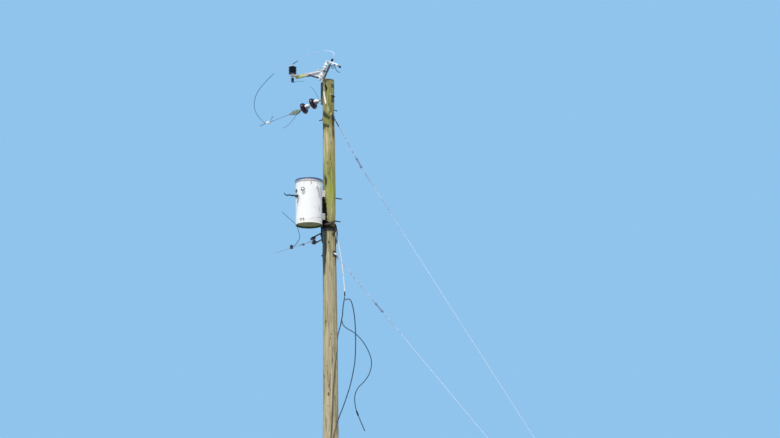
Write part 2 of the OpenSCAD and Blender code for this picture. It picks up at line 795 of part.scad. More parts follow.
// The tap clamp grips the conductor from above with an eye screw
module tap_clamp() color("#c2c4c0")
    on_line()
        translate(along_line(tap_d))
            rotate([0, line_slope, 0]) {
                difference() {
                    translate([-26, -13, -14])
                        cube([62, 26, 34]);
                    rotate([0, 90, 0])
                        cylinder(h = 100, r = wire_d / 2 + seat, center = true, $fn = 32);
                }
                bar([-20, 0, 18], [-78, 0, 58], 5);
                translate([-88, 0, 66])
                    ring_y(10, 4);
            }

// The pole band: two half straps with bolted ears along the line
strap_t = 6;
module pole_band() color("#2f3133")
    on_line()
        difference() {
            union() {
                translate([0, 0, band_z])
                    cylinder(h = strap_h, r = pole_r(band_z) + strap_t, $fn = 96);
                for (s = [-1, 1])
                    translate([s * (pole_r(band_z) + 18) - 18, -14, band_z])
                        cube([36, 28, strap_h]);
            }
            translate([0, 0, -seat * 10])
                cylinder(h = pole_h, r1 = pole_base_d / 2 + seat, r2 = pole_top_d / 2 + seat, $fn = 96);
            for (s = [-1, 1])
                translate([s * (pole_r(band_z) + 30) - 32, -4, band_z - 1])
                    cube([64, 8, strap_h + 2]);
        }

// The neutral clevis droops from the band's ear: two straps hold a spool between them on a pin
clevis_u = 268;
clevis_z = band_z - 92;
clevis_droop = 18;
clevis_back = 150;
strap_out = spool_h / 2 + seat;
module on_clevis()
    on_line()
        translate([clevis_u, 0, clevis_z])
            rotate([0, clevis_droop, 0])
                children();
clevis_top_u = clevis_u - clevis_back * cos(clevis_droop) + strap_out * sin(clevis_droop);
clevis_top_z = clevis_z + clevis_back * sin(clevis_droop) + strap_out * cos(clevis_droop);
module neutral_clevis() color("#22242b") {
    on_clevis() {
        for (z = [-strap_out - 6, strap_out])
            translate([-clevis_back, -19, z])
                cube([clevis_back + 22, 38, 6]);
        translate([-clevis_back, -19, -strap_out - 6])
            cube([6, 38, 2 * strap_out + 12]);
        translate([0, 0, -strap_out - 20])
            cylinder(h = 2 * strap_out + 40, r = 7.5, $fn = 32);
        translate([0, 0, strap_out + 6])
            cylinder(h = 9, r = 14, $fn = 32);
    }
    on_line()
        translate([0, 3.7, 0])
            rotate([90, 0, 0])
                linear_extrude(height = 7.4)
                    polygon([
                        [pole_r(band_z) + 12, band_z + 3], [pole_r(band_z) + 12, band_z + strap_h - 3],
                        [pole_r(band_z) + 32, band_z + strap_h - 3], [clevis_top_u + 4, clevis_top_z + 2],
                        [clevis_top_u - 3, clevis_top_z - 16]]);
}

module neutral_spool() color("#14161c")
    on_clevis()
        rotate_extrude()
            polygon([
                [8.5, -spool_h / 2], [spool_d / 2 - 4, -spool_h / 2], [spool_d / 2, -spool_h / 2 + 6],
                [spool_d / 2, -spool_h / 2 + 16], [22, -9], [22, 9], [spool_d / 2, spool_h / 2 - 16],
                [spool_d / 2, spool_h / 2 - 6], [spool_d / 2 - 4, spool_h / 2], [8.5, spool_h / 2]]);

// The neutral is turned round the spool and runs off with the line's slope
neutral_r = 22.5 + seat + wire_d / 2;
neutral_slope = 8;
function along_neutral(d) = [clevis_u + d * cos(neutral_slope), 0, clevis_z - d * sin(neutral_slope)];
neutral_turn = concat(
    [along_neutral(184) + [0, 3.5, 0]],
    [for (a = [90:15:270]) along_neutral(neutral_r * cos(a)) + [0, neutral_r * sin(a), 0]],
    [along_neutral(184) - [0, 3.5, 0]]);
module neutral_conductor() color("#8f9296")
    on_line() {
        wire(neutral_turn, wire_d / 2, 12, [0, 0, 1]);
        bar(along_neutral(180), along_neutral(690), wire_d / 2);
        translate(along_neutral(172))
            rotate([0, neutral_slope, 0])
                translate([0, -11, -26])
                    cube([28, 22, 34]);
    }

connector_d = 400;
module neutral_connector() color("#3c3f45")
    on_line()
        translate(along_neutral(connector_d))
            rotate([0, neutral_slope, 0])
                difference() {
                    union() {
                        translate([-20, -13, -16])
                            cube([40, 26, 50]);
                        translate([0, 0, 32])
                            cylinder(h = 16, r = 9, $fn = 6);
                    }
                    rotate([0, 90, 0])
                        cylinder(h = 80, r = wire_d / 2 + seat, center = true, $fn = 32);
                    translate([-40, -4.5, 7.5])
                        cube([80, 9, 12]);
                }

// Stiff cut leads: off the neutral, off the front bushing, under the arrester and at the bracket
neutral_lead = [
    [672, 0, -42], [640, 0, -40], [610, 0, -30], [580, 0, -7], [545, 0, 33], [520, 0, 73],
    [520, 0, 113], [535, 0, 168], [560, 0, 238], [600, 0, 303], [660, 0, 358], [750, 0, 438],
    [835, 0, 516]];
arrester_lead = [
    [652, 0, -84], [640, 0, -94], [610, 0, -92], [570, 0, -80], [535, 0, -90], [500, 0, -102],
    [452, 0, -106]];
loose_lead = [
    [300, 40, 230], [262, 38, 190], [228, 34, 146], [200, 29, 102], [180, 22, 58], [162, 17, 18],
    [148, 16.9, -10]];
front_lead = [[0, 0, 0], [14, 0, 0], [34, -8, 2], [60, -28, 3], [88, -50, -1], [108, -68, 4], [120, -80, 16]];
drip_lead = [[0, 0, 0], [3, 4, -18], [2, 6, -40], [4, 5, -62], [8, 2, -84], [4, 0, -100]];
module cut_leads() color("#5e625f") {
    on_line() {
        wire(over(neutral_lead, clevis_z), 4, 8, [0, 1, 0]);
        wire(over(arrester_lead, bracket_top), 3.5, 8, [0, 1, 0]);
        wire(over(loose_lead, eye_z), 3.5, 8, [0, 1, 0]);
    }
    on_tank(lv_front_a, lv_low_z)
        translate([tank_r + lv_len + 24 + seat, 0, 0]) {
            wire(front_lead, 5, 8, [0.1, 0.1, 1]);
            translate([-14, 0, -8.2])
                wire(drip_lead, 4, 8, [0, 1, 0]);
        }
}

// Guys: a bolt through the pole, an eye plate, a strand and a strain insulator, to one anchor
module guy_bolts() color("#4b4a45")
    on_guy() {
        through_bolt(upper_guy_z, upper_guy_x + 8, flat_x(upper_guy_z, washer_s, flat_depth), tail = 60);
        through_bolt(lower_guy_z, lower_guy_x + 8, flat_x(lower_guy_z, washer_s, flat_depth), tail = 20);
    }

anchor_p = [anchor_reach, 0, anchor_z];
upper_p = [upper_guy_x + 44, 0, upper_guy_z - 46];
lower_p = [lower_guy_x + 44, 0, lower_guy_z - 46];
function toward(a, b, d) = a + d * unit(b - a);
knee_share = 0.0923;
knee_sag = 52;
knee_p = upper_p + knee_share * (anchor_p - upper_p) - [knee_sag, 0, 0];

module eye_plate(x, z, p)
    difference() {
        union() {
            translate([x, -22, z - guy_seat_h / 2])
                cube([8, 44, guy_seat_h - 8]);
            hull() {
                translate([x + 6, -4, z - guy_seat_h / 2])
                    cube([2, 8, 16]);
                translate(p + [0, 4, 0])
                    rotate([90, 0, 0])
                        cylinder(h = 8, r = 16, $fn = 32);
            }
        }
        translate(p + [0, 20, 0])
            rotate([90, 0, 0])
                cylinder(h = 40, r = 8, $fn = 32);
        translate([x - 1, 0, z])
            rotate([0, 90, 0])
                cylinder(h = 10, r = bore_r, $fn = 32);
    }
// A strain insulator: a long rod with a grooved head at each end
module guy_insulator(a, b)
    translate(a)
        rotate([0, acos((b - a)[2] / norm(b - a)), 0])
            rotate_extrude($fn = 48)
                polygon([
                    [0, 0], [13, 0], [17, 8], [17, 34], [11, 44], [11, norm(b - a) - 44],
                    [17, norm(b - a) - 34], [17, norm(b - a) - 8], [13, norm(b - a)], [0, norm(b - a)]]);
insulator_len = 190;
upper_in = toward(knee_p, upper_p, insulator_len / 2);
upper_out = toward(knee_p, upper_p, -insulator_len / 2);
lower_mid = lower_p + 0.142 * (anchor_p - lower_p);
lower_in = toward(lower_mid, lower_p, insulator_len / 2);
lower_out = toward(lower_mid, lower_p, -insulator_len / 2);
module guy_links() color("#4a4743")
    on_guy() {
        eye_plate(upper_guy_x, upper_guy_z, upper_p);
        eye_plate(lower_guy_x, lower_guy_z, lower_p);
        guy_insulator(upper_in, upper_out);
        guy_insulator(lower_in, lower_out);
    }

// A guy's loop: a ring round c that runs off towards q
loop_wire = 4.5;
module guy_loop(c, q, r)
    translate(c)
        rotate([0, -atan2((q - c)[2], (q - c)[0]), 0])
            rotate_extrude($fn = 48)
                translate([r, 0])
                    circle(r = loop_wire, $fn = 20);

// A guy hangs in its plate's hole, has its insulator between a and b, and ends in the anchor's eye
plate_loop = 16;
loop_pull = 8 - loop_wire - seat;
eye_loop = 12;
anchor_eye_r = 20;
anchor_eye_t = 7;
eye_side = 17.5;
module guy_strand(p, a, b, side) {
    eye = anchor_p + [0, side * eye_side, 0];
    held = toward(eye, b, anchor_eye_r);
    guy_loop(toward(p, a, plate_loop + loop_pull), a, plate_loop);
    bar(toward(p, a, 2 * plate_loop + loop_pull), toward(a, p, seat), guy_d / 2);
    bar(toward(b, held, seat + 0.2), toward(held, b, eye_loop), guy_d / 2);
    guy_loop(held, b, eye_loop);
}
module upper_guy() color("#d3d6d6") on_guy() guy_strand(upper_p, upper_in, upper_out, -1);
module lower_guy() color("#d3d6d6") on_guy() guy_strand(lower_p, lower_in, lower_out, 1);

// The anchor rod comes out of the ground in line with the guys and ends in an eye
anchor_a = 54;
module anchor_rod() color("#6f6a60")
    on_guy()
        intersection() {
            union() {
                bar(anchor_p + [18 * cos(anchor_a), 0, -18 * sin(anchor_a)],
                    anchor_p + [400 * cos(anchor_a), 0, -400 * sin(anchor_a)], 10);
                for (side = [-1, 1])
                    translate(anchor_p + [0, side * eye_side, 0])
                        ring_y(anchor_eye_r, anchor_eye_t);
                translate(anchor_p + [anchor_eye_r * cos(anchor_a), 0, -anchor_eye_r * sin(anchor_a)])
                    rotate([90, 0, 0])
                        cylinder(h = 2 * eye_side, r = anchor_eye_t, center = true, $fn = 32);
            }
            translate([0, -100, 0])
                cube([2 * anchor_reach, 200, pole_h]);
        }

// Black leads wrapped round the pole's front, from the tank's side to the service leads
wrap_from = 215;
wrap_turn = 179.4;
wrap_r = lead_d / 2;
module lead_wrap() color("#1d1f22")
    for (k = [0:2])
        rotate([0, 0, wrap_from - 4 * k])
            translate([0, 0, band_z + strap_h + wrap_r + seat + k * lead_pitch])
                rotate_extrude(angle = wrap_turn + 12 * k, $fn = 96)
                    translate([pole_r(band_z + strap_h) + wrap_r + seat, 0])
                        circle(r = wrap_r, $fn = 20);

// Cords, in the object's own frame
lead_run = [[83.5, 58.5, 6532], [76, 72, 6532], [68, 85.5, 6531], [63, 92, 6520], [61.5, 96, 6490],
    [63, 99, 6440], [70, 111, 6360], [86, 136, 6200], [98, 155, 6060], [108, 170, 5910], [116, 181, 5760],
    [121, 188, 5640], [124, 192, 5530]];
lead_turn = [8, 8, 8, 8, 8, 8, 7, 6, 5, 4.5, 4.2, 4, 4];
lead_rise = [1, 1, 1, 0.9, 0.6, 0.3, 0, 0, 0, 0, 0, 0, 0];
service_run = [[128, 186, 5515], [118, 176, 5440], [110, 166, 5355], [104, 158, 5240], [88, 136, 5110],
    [72, 112, 5005], [66, 98, 4930], [74, 88, 4850], [90, 74, 4760], [104, 51, 4640], [114, 25, 4500],
    [118, 4, 4300], [118, -12, 4085], [117, -25, 3875], [115, -39, 3665], [112, -48, 3495], [108, -60, 3200],
    [107, -67, 2700], [109, -72, 2000], [112, -75, 1200], [115, -78, 500], [118, -79, 0]];
loop_run = [
    [129.6, 194.4, 5470], [141, 213, 5484], [162, 232, 5487], [190, 255, 5455], [212, 276, 5350],
    [232, 288, 5200], [248, 290, 5025], [258, 284, 4805], [260, 270, 4585], [252, 243, 4415],
    [234, 205, 4230], [210, 160, 4070], [182, 112, 3915], [150, 72, 3790], [130, 36, 3665],
    [124, 6, 3560], [121, -18, 3440], [119, -33, 3200], [120, -40, 2700], [123, -44, 2000],
    [127, -47, 1200], [130, -50, 500], [132, -52, 0]];
tail_cord = [
    [110, 144, 5178], [134, 150, 5110], [180, 188, 5050], [270, 270, 4970], [350, 355, 4840],
    [405, 420, 4680], [430, 442, 4535], [416, 416, 4390], [378, 358, 4280], [322, 278, 4180],
    [297, 240, 4070], [300, 242, 3940], [312, 262, 3840], [340, 300, 3720], [375, 352, 3572]];
lead_pitch = lead_d + 0.5;
function turned(p, a) = [p[0] * cos(a) - p[1] * sin(a), p[0] * sin(a) + p[1] * cos(a), p[2]];
function lead_route(k) =
    [for (i = [0:len(lead_run) - 1])
        turned(lead_run[i], k * lead_turn[i]) + [0, 0, k * lead_pitch * lead_rise[i]]];
module service_leads() color("#dfe3e6")
    for (k = [0:2])
        wire(lead_route(k), lead_d / 2, 8, [1, 0.3, 0]);
module service_cable() color("#2c3036") wire(service_run, 8, 8, [1, -0.6, 0.05]);
module cable_loop() color("#2c3036") wire(loop_run, 8, 8, [1, -0.9, 0.05]);
module cable_tail() color("#2c3036") wire(tail_cord, 7, 8, [1, -0.9, 0.05]);

pole();
tank_wall();
tank_bottom();
tank_lid();
lid_band();
lifting_lugs();
ground_bosses();
upper_hanger();
lower_hanger();
hanger_bolts();
lv_bushing_right();
lv_bushing_front();
lv_port();
bushing_terminals();
hv_bushing();
top_bracket();
bracket_bolts();
insulating_bar();
arrester_housing();
arrester_fittings();
cutout_porcelain();
cutout_clamp();
cutout_top();
cutout_hinge();
fuse_tube();
fuse_ends();
jumper();
tap_clamp();
eye_bolt();
disc_inner();
disc_outer();
disc_fittings();
strain_clamp();
line_conductor();
pole_band();
neutral_clevis();
neutral_spool();
neutral_conductor();
neutral_connector();
cut_leads();
guy_bolts();
guy_links();
upper_guy();
lower_guy();
anchor_rod();
lead_wrap();
service_leads();
service_cable();
cable_loop();
cable_tail();
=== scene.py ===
"""A single-phase transformer on a guyed wooden dead-end pole, dressed for its photograph's view."""
import json

import bmesh
import bpy
import numpy as np
from mathutils import Matrix


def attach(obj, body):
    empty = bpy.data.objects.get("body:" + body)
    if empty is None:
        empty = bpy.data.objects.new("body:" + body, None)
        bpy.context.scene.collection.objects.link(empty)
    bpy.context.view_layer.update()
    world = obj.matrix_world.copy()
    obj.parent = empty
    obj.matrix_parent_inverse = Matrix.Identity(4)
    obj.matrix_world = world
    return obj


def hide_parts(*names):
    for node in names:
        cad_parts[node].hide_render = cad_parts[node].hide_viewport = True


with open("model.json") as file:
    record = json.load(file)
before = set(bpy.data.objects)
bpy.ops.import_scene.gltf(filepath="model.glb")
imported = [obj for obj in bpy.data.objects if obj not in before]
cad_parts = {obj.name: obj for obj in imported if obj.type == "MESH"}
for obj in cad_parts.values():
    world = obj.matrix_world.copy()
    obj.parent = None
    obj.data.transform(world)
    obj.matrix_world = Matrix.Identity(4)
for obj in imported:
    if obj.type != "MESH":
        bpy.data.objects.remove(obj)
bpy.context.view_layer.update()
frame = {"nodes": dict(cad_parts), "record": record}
NODES = frame["nodes"]
MM = 0.001
UP = np.array((0.0, 0.0, 1.0))
ACROSS = (0.0, 1.0, 0.0)


# The camera

VIEW_HEADING, VIEW_LIFT, VIEW_ROLL = np.radians((57.0, 14.0, 0.9))
CAMERA_AT = (17.557, -10.328, 1.6)
FOCAL_PIXELS = 1427.0
PICTURE_PIXELS = 780.0
FILM_WIDTH = 36.0
FAR_CLIP = 400.0


def add_object(name, data):
    """An object with its data, linked to the scene."""
    new = bpy.data.objects.new(name, data)
    bpy.context.scene.collection.objects.link(new)
    return new


def standing(x, y, z, at=(0.0, 0.0, 0.0)):
    """A place whose axes are x, y and z, at a point."""
    place = np.eye(4)
    place[:3] = np.stack([x, y, z, at], -1)
    return Matrix(place.tolist())


def stand_camera():
    """A camera at eye height: a level look along the heading, lifted and then rolled."""
    ahead = np.array((-np.sin(VIEW_HEADING), np.cos(VIEW_HEADING), 0.0))
    right = np.array((np.cos(VIEW_HEADING), np.sin(VIEW_HEADING), 0.0))
    look = ahead * np.cos(VIEW_LIFT) + UP * np.sin(VIEW_LIFT)
    above = UP * np.cos(VIEW_LIFT) - ahead * np.sin(VIEW_LIFT)
    side = right * np.cos(VIEW_ROLL) - above * np.sin(VIEW_ROLL)
    top = above * np.cos(VIEW_ROLL) + right * np.sin(VIEW_ROLL)
    lens = bpy.data.cameras.new("eye_height_camera")
    lens.sensor_width = FILM_WIDTH
    lens.lens = FOCAL_PIXELS / PICTURE_PIXELS * FILM_WIDTH
    lens.clip_end = FAR_CLIP
    camera = add_object("eye_height_camera", lens)
    camera.matrix_world = standing(side, top, -look, CAMERA_AT)
    bpy.context.scene.camera = camera


stand_camera()


# Places and sizes of the solids that the new pieces follow

def turn(axis, degrees):
    """A 4 by 4 turn about x, y or z."""
    return np.array(Matrix.Rotation(np.radians(degrees), 4, axis))


def shift(x, y, z):
    """A 4 by 4 move."""
    place = np.eye(4)
    place[:3, 3] = x, y, z
    return place


def put(points, place):
    """The points carried by a place: turned, then moved."""
    return np.asarray(points, float) @ place[:3, :3].T + place[:3, 3]


def unit(v):
    """A direction, or a row of them, made one long."""
    return v / np.linalg.norm(v, axis=-1, keepdims=True)


def mm(points):
    """Points given in millimetres, in metres."""
    return np.asarray(points, float) * MM


POLE_TOP = 8.84
POLE_FOOT_R = 0.133
POLE_TAPER = 0.05
FLAT_DEPTH = 0.005
WASHER_HALF = 0.028
GUY_PLATE_HALF = 0.045
NUT_FACE = 0.019
LINE_TURN = 206.0
GUY_TURN = 26.0
UPPER_HANGER, LOWER_HANGER = 7.02, 6.67
HANGER_TOP = 7.07
HANGER_FLATS = (7.048, 6.698)
HANGER_HALF = 0.04
HANGER_REACH = 0.058
UPPER_GUY, LOWER_GUY = 8.235, 6.15
TANK_R = 0.193
SEAM_TURN = 118.0
FRONT_BUSHING = (8.0, 6.958)
RIGHT_BUSHING = (36.0, 7.05)
EYE = np.array((0.132, 0.0, 8.562))
STRING_DIP, LINE_DIP, NEUTRAL_DIP = 15.5, 8.5, 8.0
CLAMP_REACH = 0.361
CUTOUT_LEAN = 28.5
ARRESTER_X = 0.651


def pole_radius(z):
    """The pole's radius: it loses 50 mm evenly from its foot to its top."""
    return POLE_FOOT_R - POLE_TAPER * z / POLE_TOP


def seat(z, half):
    """How far out a flat lies that is cut 5 mm into the pole at its upper edge."""
    return pole_radius(z + half) - FLAT_DEPTH


HANGER_SAG = pole_radius(UPPER_HANGER) - np.sqrt(pole_radius(UPPER_HANGER) ** 2 - HANGER_HALF ** 2)
HANGER_X = pole_radius(HANGER_TOP) - (HANGER_SAG + 0.001)
TANK_Y = -(HANGER_X + HANGER_REACH + TANK_R)
ON_LINE = turn("Z", LINE_TURN)
ON_GUY = turn("Z", GUY_TURN)
ON_AXIS = shift(0.0, TANK_Y, 0.0)


def on_tank(angle, z):
    """x runs out of the tank's axis at an angle from its front."""
    return shift(0.0, TANK_Y, z) @ turn("Z", angle - 90.0)


def on_string(s):
    """x runs along the insulator string."""
    return ON_LINE @ shift(*EYE) @ turn("Y", STRING_DIP) @ shift(s, 0.0, 0.0)


def run_off(start, slope, distance):
    """A point on a conductor that runs off with a slope below level."""
    a = np.radians(slope)
    return np.array((start[0] + distance * np.cos(a), start[1], start[2] - distance * np.sin(a)))


def toward(a, b, d):
    """The point at a distance from a on the way to b."""
    return a + d * unit(b - a)


ON_CUTOUT = ON_LINE @ shift(0.002, 0.115, 8.957) @ turn("Y", -CUTOUT_LEAN)
ON_CLAMP = on_string(CLAMP_REACH) @ turn("Y", LINE_DIP - STRING_DIP)
ON_FRONT_STUB = on_tank(*FRONT_BUSHING) @ shift(TANK_R + 0.0763, 0.0, 0.0)
CLAMP_AT = run_off(EYE, STRING_DIP, CLAMP_REACH)
SPOOL_AT = np.array((0.268, 0.0, 6.398))


# Surfaces: grids of points and the ways to make them

def quads(rows, columns, wrap):
    """Faces between neighbouring rows and columns of a grid, round to the first column where it wraps."""
    r = np.arange(rows - 1)[:, None]
    c = np.arange(columns if wrap else columns - 1)[None, :]
    d = (c + 1) % columns
    faces = [r * columns + c, r * columns + d, (r + 1) * columns + d, (r + 1) * columns + c]
    return np.stack(np.broadcast_arrays(*faces), -1).reshape(-1, 4)


def make(name, surfaces, slot, finish=None, body="structure", sharp=38.0, replaces=(), marks=None):
    """One object from grids of points; each surface is (points, wrap). Doubles are merged, so poles close.
    Its finish is its slot's own, unless another is given; marks are values for each point."""
    points, faces, start = [], [], 0
    for grid, wrap in surfaces:
        rows, columns = grid.shape[:2]
        points.append(grid.reshape(-1, 3))
        faces.append(quads(rows, columns, wrap) + start)
        start += rows * columns
    mesh = bpy.data.meshes.new(name)
    mesh.from_pydata(np.concatenate(points).tolist(), [], np.concatenate(faces).tolist())
    for mark, values in (marks or {}).items():
        mesh.attributes.new(mark, "FLOAT", "POINT").data.foreach_set("value", np.ravel(values))
    shell = bmesh.new()
    shell.from_mesh(mesh)
    bmesh.ops.remove_doubles(shell, verts=shell.verts, dist=1e-6)
    bmesh.ops.dissolve_degenerate(shell, edges=shell.edges, dist=1e-7)
    shell.to_mesh(mesh)
    shell.free()
    mesh.polygons.foreach_set("use_smooth", np.ones(len(mesh.polygons), bool))
    mesh.set_sharp_from_angle(angle=np.radians(sharp))
    mesh.materials.append(finish or FINISHES[slot])
    piece = add_object(name, mesh)
    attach(piece, body)
    if replaces:
        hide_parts(*replaces)
    return piece


def ring_angles(columns):
    """Evenly spaced angles round a whole turn."""
    return np.linspace(0.0, 2.0 * np.pi, columns, endpoint=False)


def revolve(profile, place, columns=40, ripple=None):
    """A profile of (radius, height) turned about z; ripple(angle, row) adds to the radius."""
    profile = np.asarray(profile, float)
    angle = ring_angles(columns)[None, :]
    radius = np.repeat(profile[:, :1], columns, 1)
    if ripple:
        radius = radius + ripple(angle, np.arange(len(profile))[:, None])
    height = np.repeat(profile[:, 1:], columns, 1)
    return put(np.stack([radius * np.cos(angle), radius * np.sin(angle), height], -1), place), True


def walked(path):
    """How far along the path each point lies."""
    return np.concatenate([[0.0], np.cumsum(np.linalg.norm(np.diff(path, axis=0), axis=1))])


def smooth_route(points, step=0.012):
    """A Catmull-Rom curve through the points, walked in even steps."""
    p = np.asarray(points, float)
    p = np.concatenate([2 * p[:1] - p[1:2], p, 2 * p[-1:] - p[-2:-1]])
    t = np.linspace(0.0, 1.0, 24, endpoint=False)[None, :, None]
    a, b, c, d = p[:-3, None], p[1:-2, None], p[2:-1, None], p[3:, None]
    curve = 2 * b + (c - a) * t + (2 * a - 5 * b + 4 * c - d) * t ** 2
    curve = 0.5 * (curve + (3 * b - a - 3 * c + d) * t ** 3)
    curve = np.concatenate([curve.reshape(-1, 3), p[-2:-1]])
    at = walked(curve)
    stops = np.linspace(0.0, at[-1], max(int(at[-1] / step), 2) + 1)
    return np.stack([np.interp(stops, at, curve[:, k]) for k in range(3)], -1)


def straight(a, b, step=0.02):
    """Evenly spaced points from a to b."""
    a, b = np.asarray(a, float), np.asarray(b, float)
    count = max(int(np.linalg.norm(b - a) / step), 1) + 1
    return a + np.linspace(0.0, 1.0, count)[:, None] * (b - a)


def helix(a, b, radius, pitch, start, step):
    """A path that turns about the line from a to b once in each pitch."""
    a, b = np.asarray(a, float), np.asarray(b, float)
    axis = unit(b - a)
    u = unit(np.cross(axis, (0.0, 1.0, 0.1)))
    v = np.cross(axis, u)
    line = straight(a, b, step)
    angle = start + walked(line)[:, None] / pitch * 2.0 * np.pi
    return line + radius * (np.cos(angle) * u + np.sin(angle) * v)


def circle(radius, columns=12):
    """A round outline."""
    angle = ring_angles(columns)
    return radius * np.stack([np.cos(angle), np.sin(angle)], -1)


def rounds(radii, columns):
    """Round outlines along a path, one for each radius."""
    return radii[:, None, None] * circle(1.0, columns)[None]


def lumpy(count, radius, lump, rate):
    """Radii along a weld bead: they swell and shrink by a lump."""
    return radius + lump * np.sin(np.arange(count) * rate)


def spread(count, shares, radii):
    """A radius in millimetres for each point of a path, between radii at shares of its length."""
    return np.interp(np.linspace(0.0, 1.0, count), shares, radii) * MM


def oblong(half_across, half_up, across_power, up_power, columns):
    """A superellipse: the cosine and the sine of the angle, each raised to a power with its sign kept."""
    angle = ring_angles(columns)
    c, s = np.cos(angle), np.sin(angle)
    return np.stack([half_across * np.sign(c) * np.abs(c) ** across_power,
                     half_up * np.sign(s) * np.abs(s) ** up_power], -1)


def tube(path, outline, side, caps=True):
    """An outline carried along a path: a is across side and the path, b is across both.
    The outline is (columns, 2) or (rows, columns, 2); rings shrunk to a point close the ends."""
    tangent = unit(np.gradient(path, axis=0))
    a = unit(np.cross(np.broadcast_to(side, path.shape), tangent))
    b = np.cross(tangent, a)
    outline = np.broadcast_to(outline, (len(path),) + outline.shape[-2:])
    grid = path[:, None] + outline[..., :1] * a[:, None] + outline[..., 1:] * b[:, None]
    if caps:
        grid = np.concatenate([np.broadcast_to(path[:1, None], grid[:1].shape), grid,
                               np.broadcast_to(path[-1:, None], grid[:1].shape)])
    return grid, True


def uneven(radius, angle):
    """Round outlines whose radius is given for each point of the path and each angle."""
    return radius[..., None] * np.stack([np.cos(angle), np.sin(angle)], -1)


def laid(path, radius, wires=6, lay=0.14, depth=0.07):
    """A stranded outline: its radius dips between the wires, and the dips turn once in each lay."""
    angle = ring_angles(wires * 4)[None, :]
    along = walked(path)[:, None] / lay * 2.0 * np.pi
    return uneven(radius * (1.0 - depth * (0.5 - 0.5 * np.cos(wires * (angle - along)))), angle)


def strand(route, radius, side, place, wires=6):
    """A stranded wire along a smooth route, carried by a place."""
    path = put(smooth_route(route), place)
    return tube(path, laid(path, radius, wires), place[:3, :3] @ np.asarray(side, float))


def thread(a, b, radius, pitch=0.0026, columns=16):
    """A screw thread: the radius rises and falls once in each pitch, turning with the angle."""
    path = straight(a, b, pitch / 4)
    at = walked(path)
    angle = ring_angles(columns)[None, :]
    phase = at[:, None] / pitch + angle / (2.0 * np.pi)
    ends = np.minimum(at, at[-1] - at)[:, None]
    r = radius + 0.0009 * np.abs(2.0 * (phase % 1.0) - 1.0) - 0.0006 * (ends < pitch / 2)
    return tube(path, uneven(r, angle), UP)


def rounded_rod(place, path, half_across, half_up, corner):
    """A bar with a rounded oblong section, eased to the corner at both ends."""
    at = walked(path)
    near = np.minimum(at, at[-1] - at).clip(0.0, corner) / corner
    size = 1.0 - 0.5 * corner / half_across * (1.0 - near) ** 2
    outline = oblong(half_across, half_up, 0.4, 0.4, 24)
    return tube(put(path, place), size[:, None, None] * outline[None], place[:3, 2])


def swept(route, sizes, side, place, columns=14):
    """A round body along a smooth route in millimetres; sizes are its radii, spread evenly along it."""
    path = put(smooth_route(mm(route), 0.004), place)
    radii = spread(len(path), np.linspace(0.0, 1.0, len(sizes)), sizes)
    return tube(path, rounds(radii, columns), place[:3, :3] @ np.asarray(side, float))


def ball(centre, radius, place):
    """A ball: half a circle turned about z."""
    a = np.radians(np.linspace(-90.0, 90.0, 17))
    return revolve(np.stack([radius * np.cos(a), radius * np.sin(a)], -1), place @ shift(*centre), 24)


def hex_profile(radius, height):
    """A hexagon head's profile with a chamfered top."""
    return [(0.0, 0.0), (radius, 0.0), (radius, 0.8 * height), (0.85 * radius, height), (0.0, height)]


# Finishes: node groups that several materials share

def node(tree, kind, sockets=None, **fields):
    """A shader node with its fields set; each socket gets a value or a link."""
    new = tree.nodes.new("ShaderNode" + kind)
    for field, value in fields.items():
        setattr(new, field, value)
    for key, value in (sockets or {}).items():
        if isinstance(value, bpy.types.NodeSocket):
            tree.links.new(value, new.inputs[key])
        else:
            new.inputs[key].default_value = value
    return new


def rgb(text):
    """A written colour as linear values."""
    c = np.array([int(text[i:i + 2], 16) for i in (1, 3, 5)]) / 255.0
    return tuple(np.where(c < 0.04045, c / 12.92, ((c + 0.055) / 1.055) ** 2.4).tolist()) + (1.0,)


def mix(tree, amount, a, b):
    """Colour a turned into b by amount."""
    colours = {6: a if isinstance(a, bpy.types.NodeSocket) else rgb(a),
               7: b if isinstance(b, bpy.types.NodeSocket) else rgb(b)}
    return node(tree, "Mix", {0: amount, **colours}, data_type="RGBA").outputs[2]


def maths(tree, operation, a, b=0.0, clamp=False):
    """One sum on two values."""
    return node(tree, "Math", {0: a, 1: b}, operation=operation, use_clamp=clamp).outputs[0]


def vectors(tree, operation, a, b, output="Vector"):
    """One sum on two vectors."""
    return node(tree, "VectorMath", {0: a, 1: b}, operation=operation).outputs[output]


def window(tree, value, low, high, to_low=0.0, to_high=1.0):
    """A value's range opened to another, smoothly and clamped."""
    sockets = {"Value": value, "From Min": low, "From Max": high, "To Min": to_low, "To Max": to_high}
    return node(tree, "MapRange", sockets, interpolation_type="SMOOTHSTEP").outputs["Result"]


def noise(tree, where, scale, detail=2.0, rough=0.5, warp=0.0):
    """Smooth noise at a scale, from 0 to 1."""
    sockets = {"Vector": where, "Scale": scale, "Detail": detail, "Roughness": rough, "Distortion": warp}
    return node(tree, "TexNoise", sockets).outputs["Fac"]


def group(name, inputs, outputs):
    """An empty node group with named sockets; an input's value is its default, or None for a vector."""
    tree = bpy.data.node_groups.new(name, "ShaderNodeTree")
    for socket, value in inputs.items():
        kind = "NodeSocketVector" if value is None else "NodeSocketFloat"
        made = tree.interface.new_socket(socket, in_out="INPUT", socket_type=kind)
        if value is not None:
            made.default_value = value
    for socket, kind in outputs.items():
        tree.interface.new_socket(socket, in_out="OUTPUT", socket_type="NodeSocket" + kind)
    return tree, tree.nodes.new("NodeGroupInput").outputs, tree.nodes.new("NodeGroupOutput").inputs


def effect(tree, kind, where, **values):
    """A shared effect placed in a material with its own values; gives its outputs."""
    return node(tree, "Group", {"Where": where, **values}, node_tree=kind).outputs


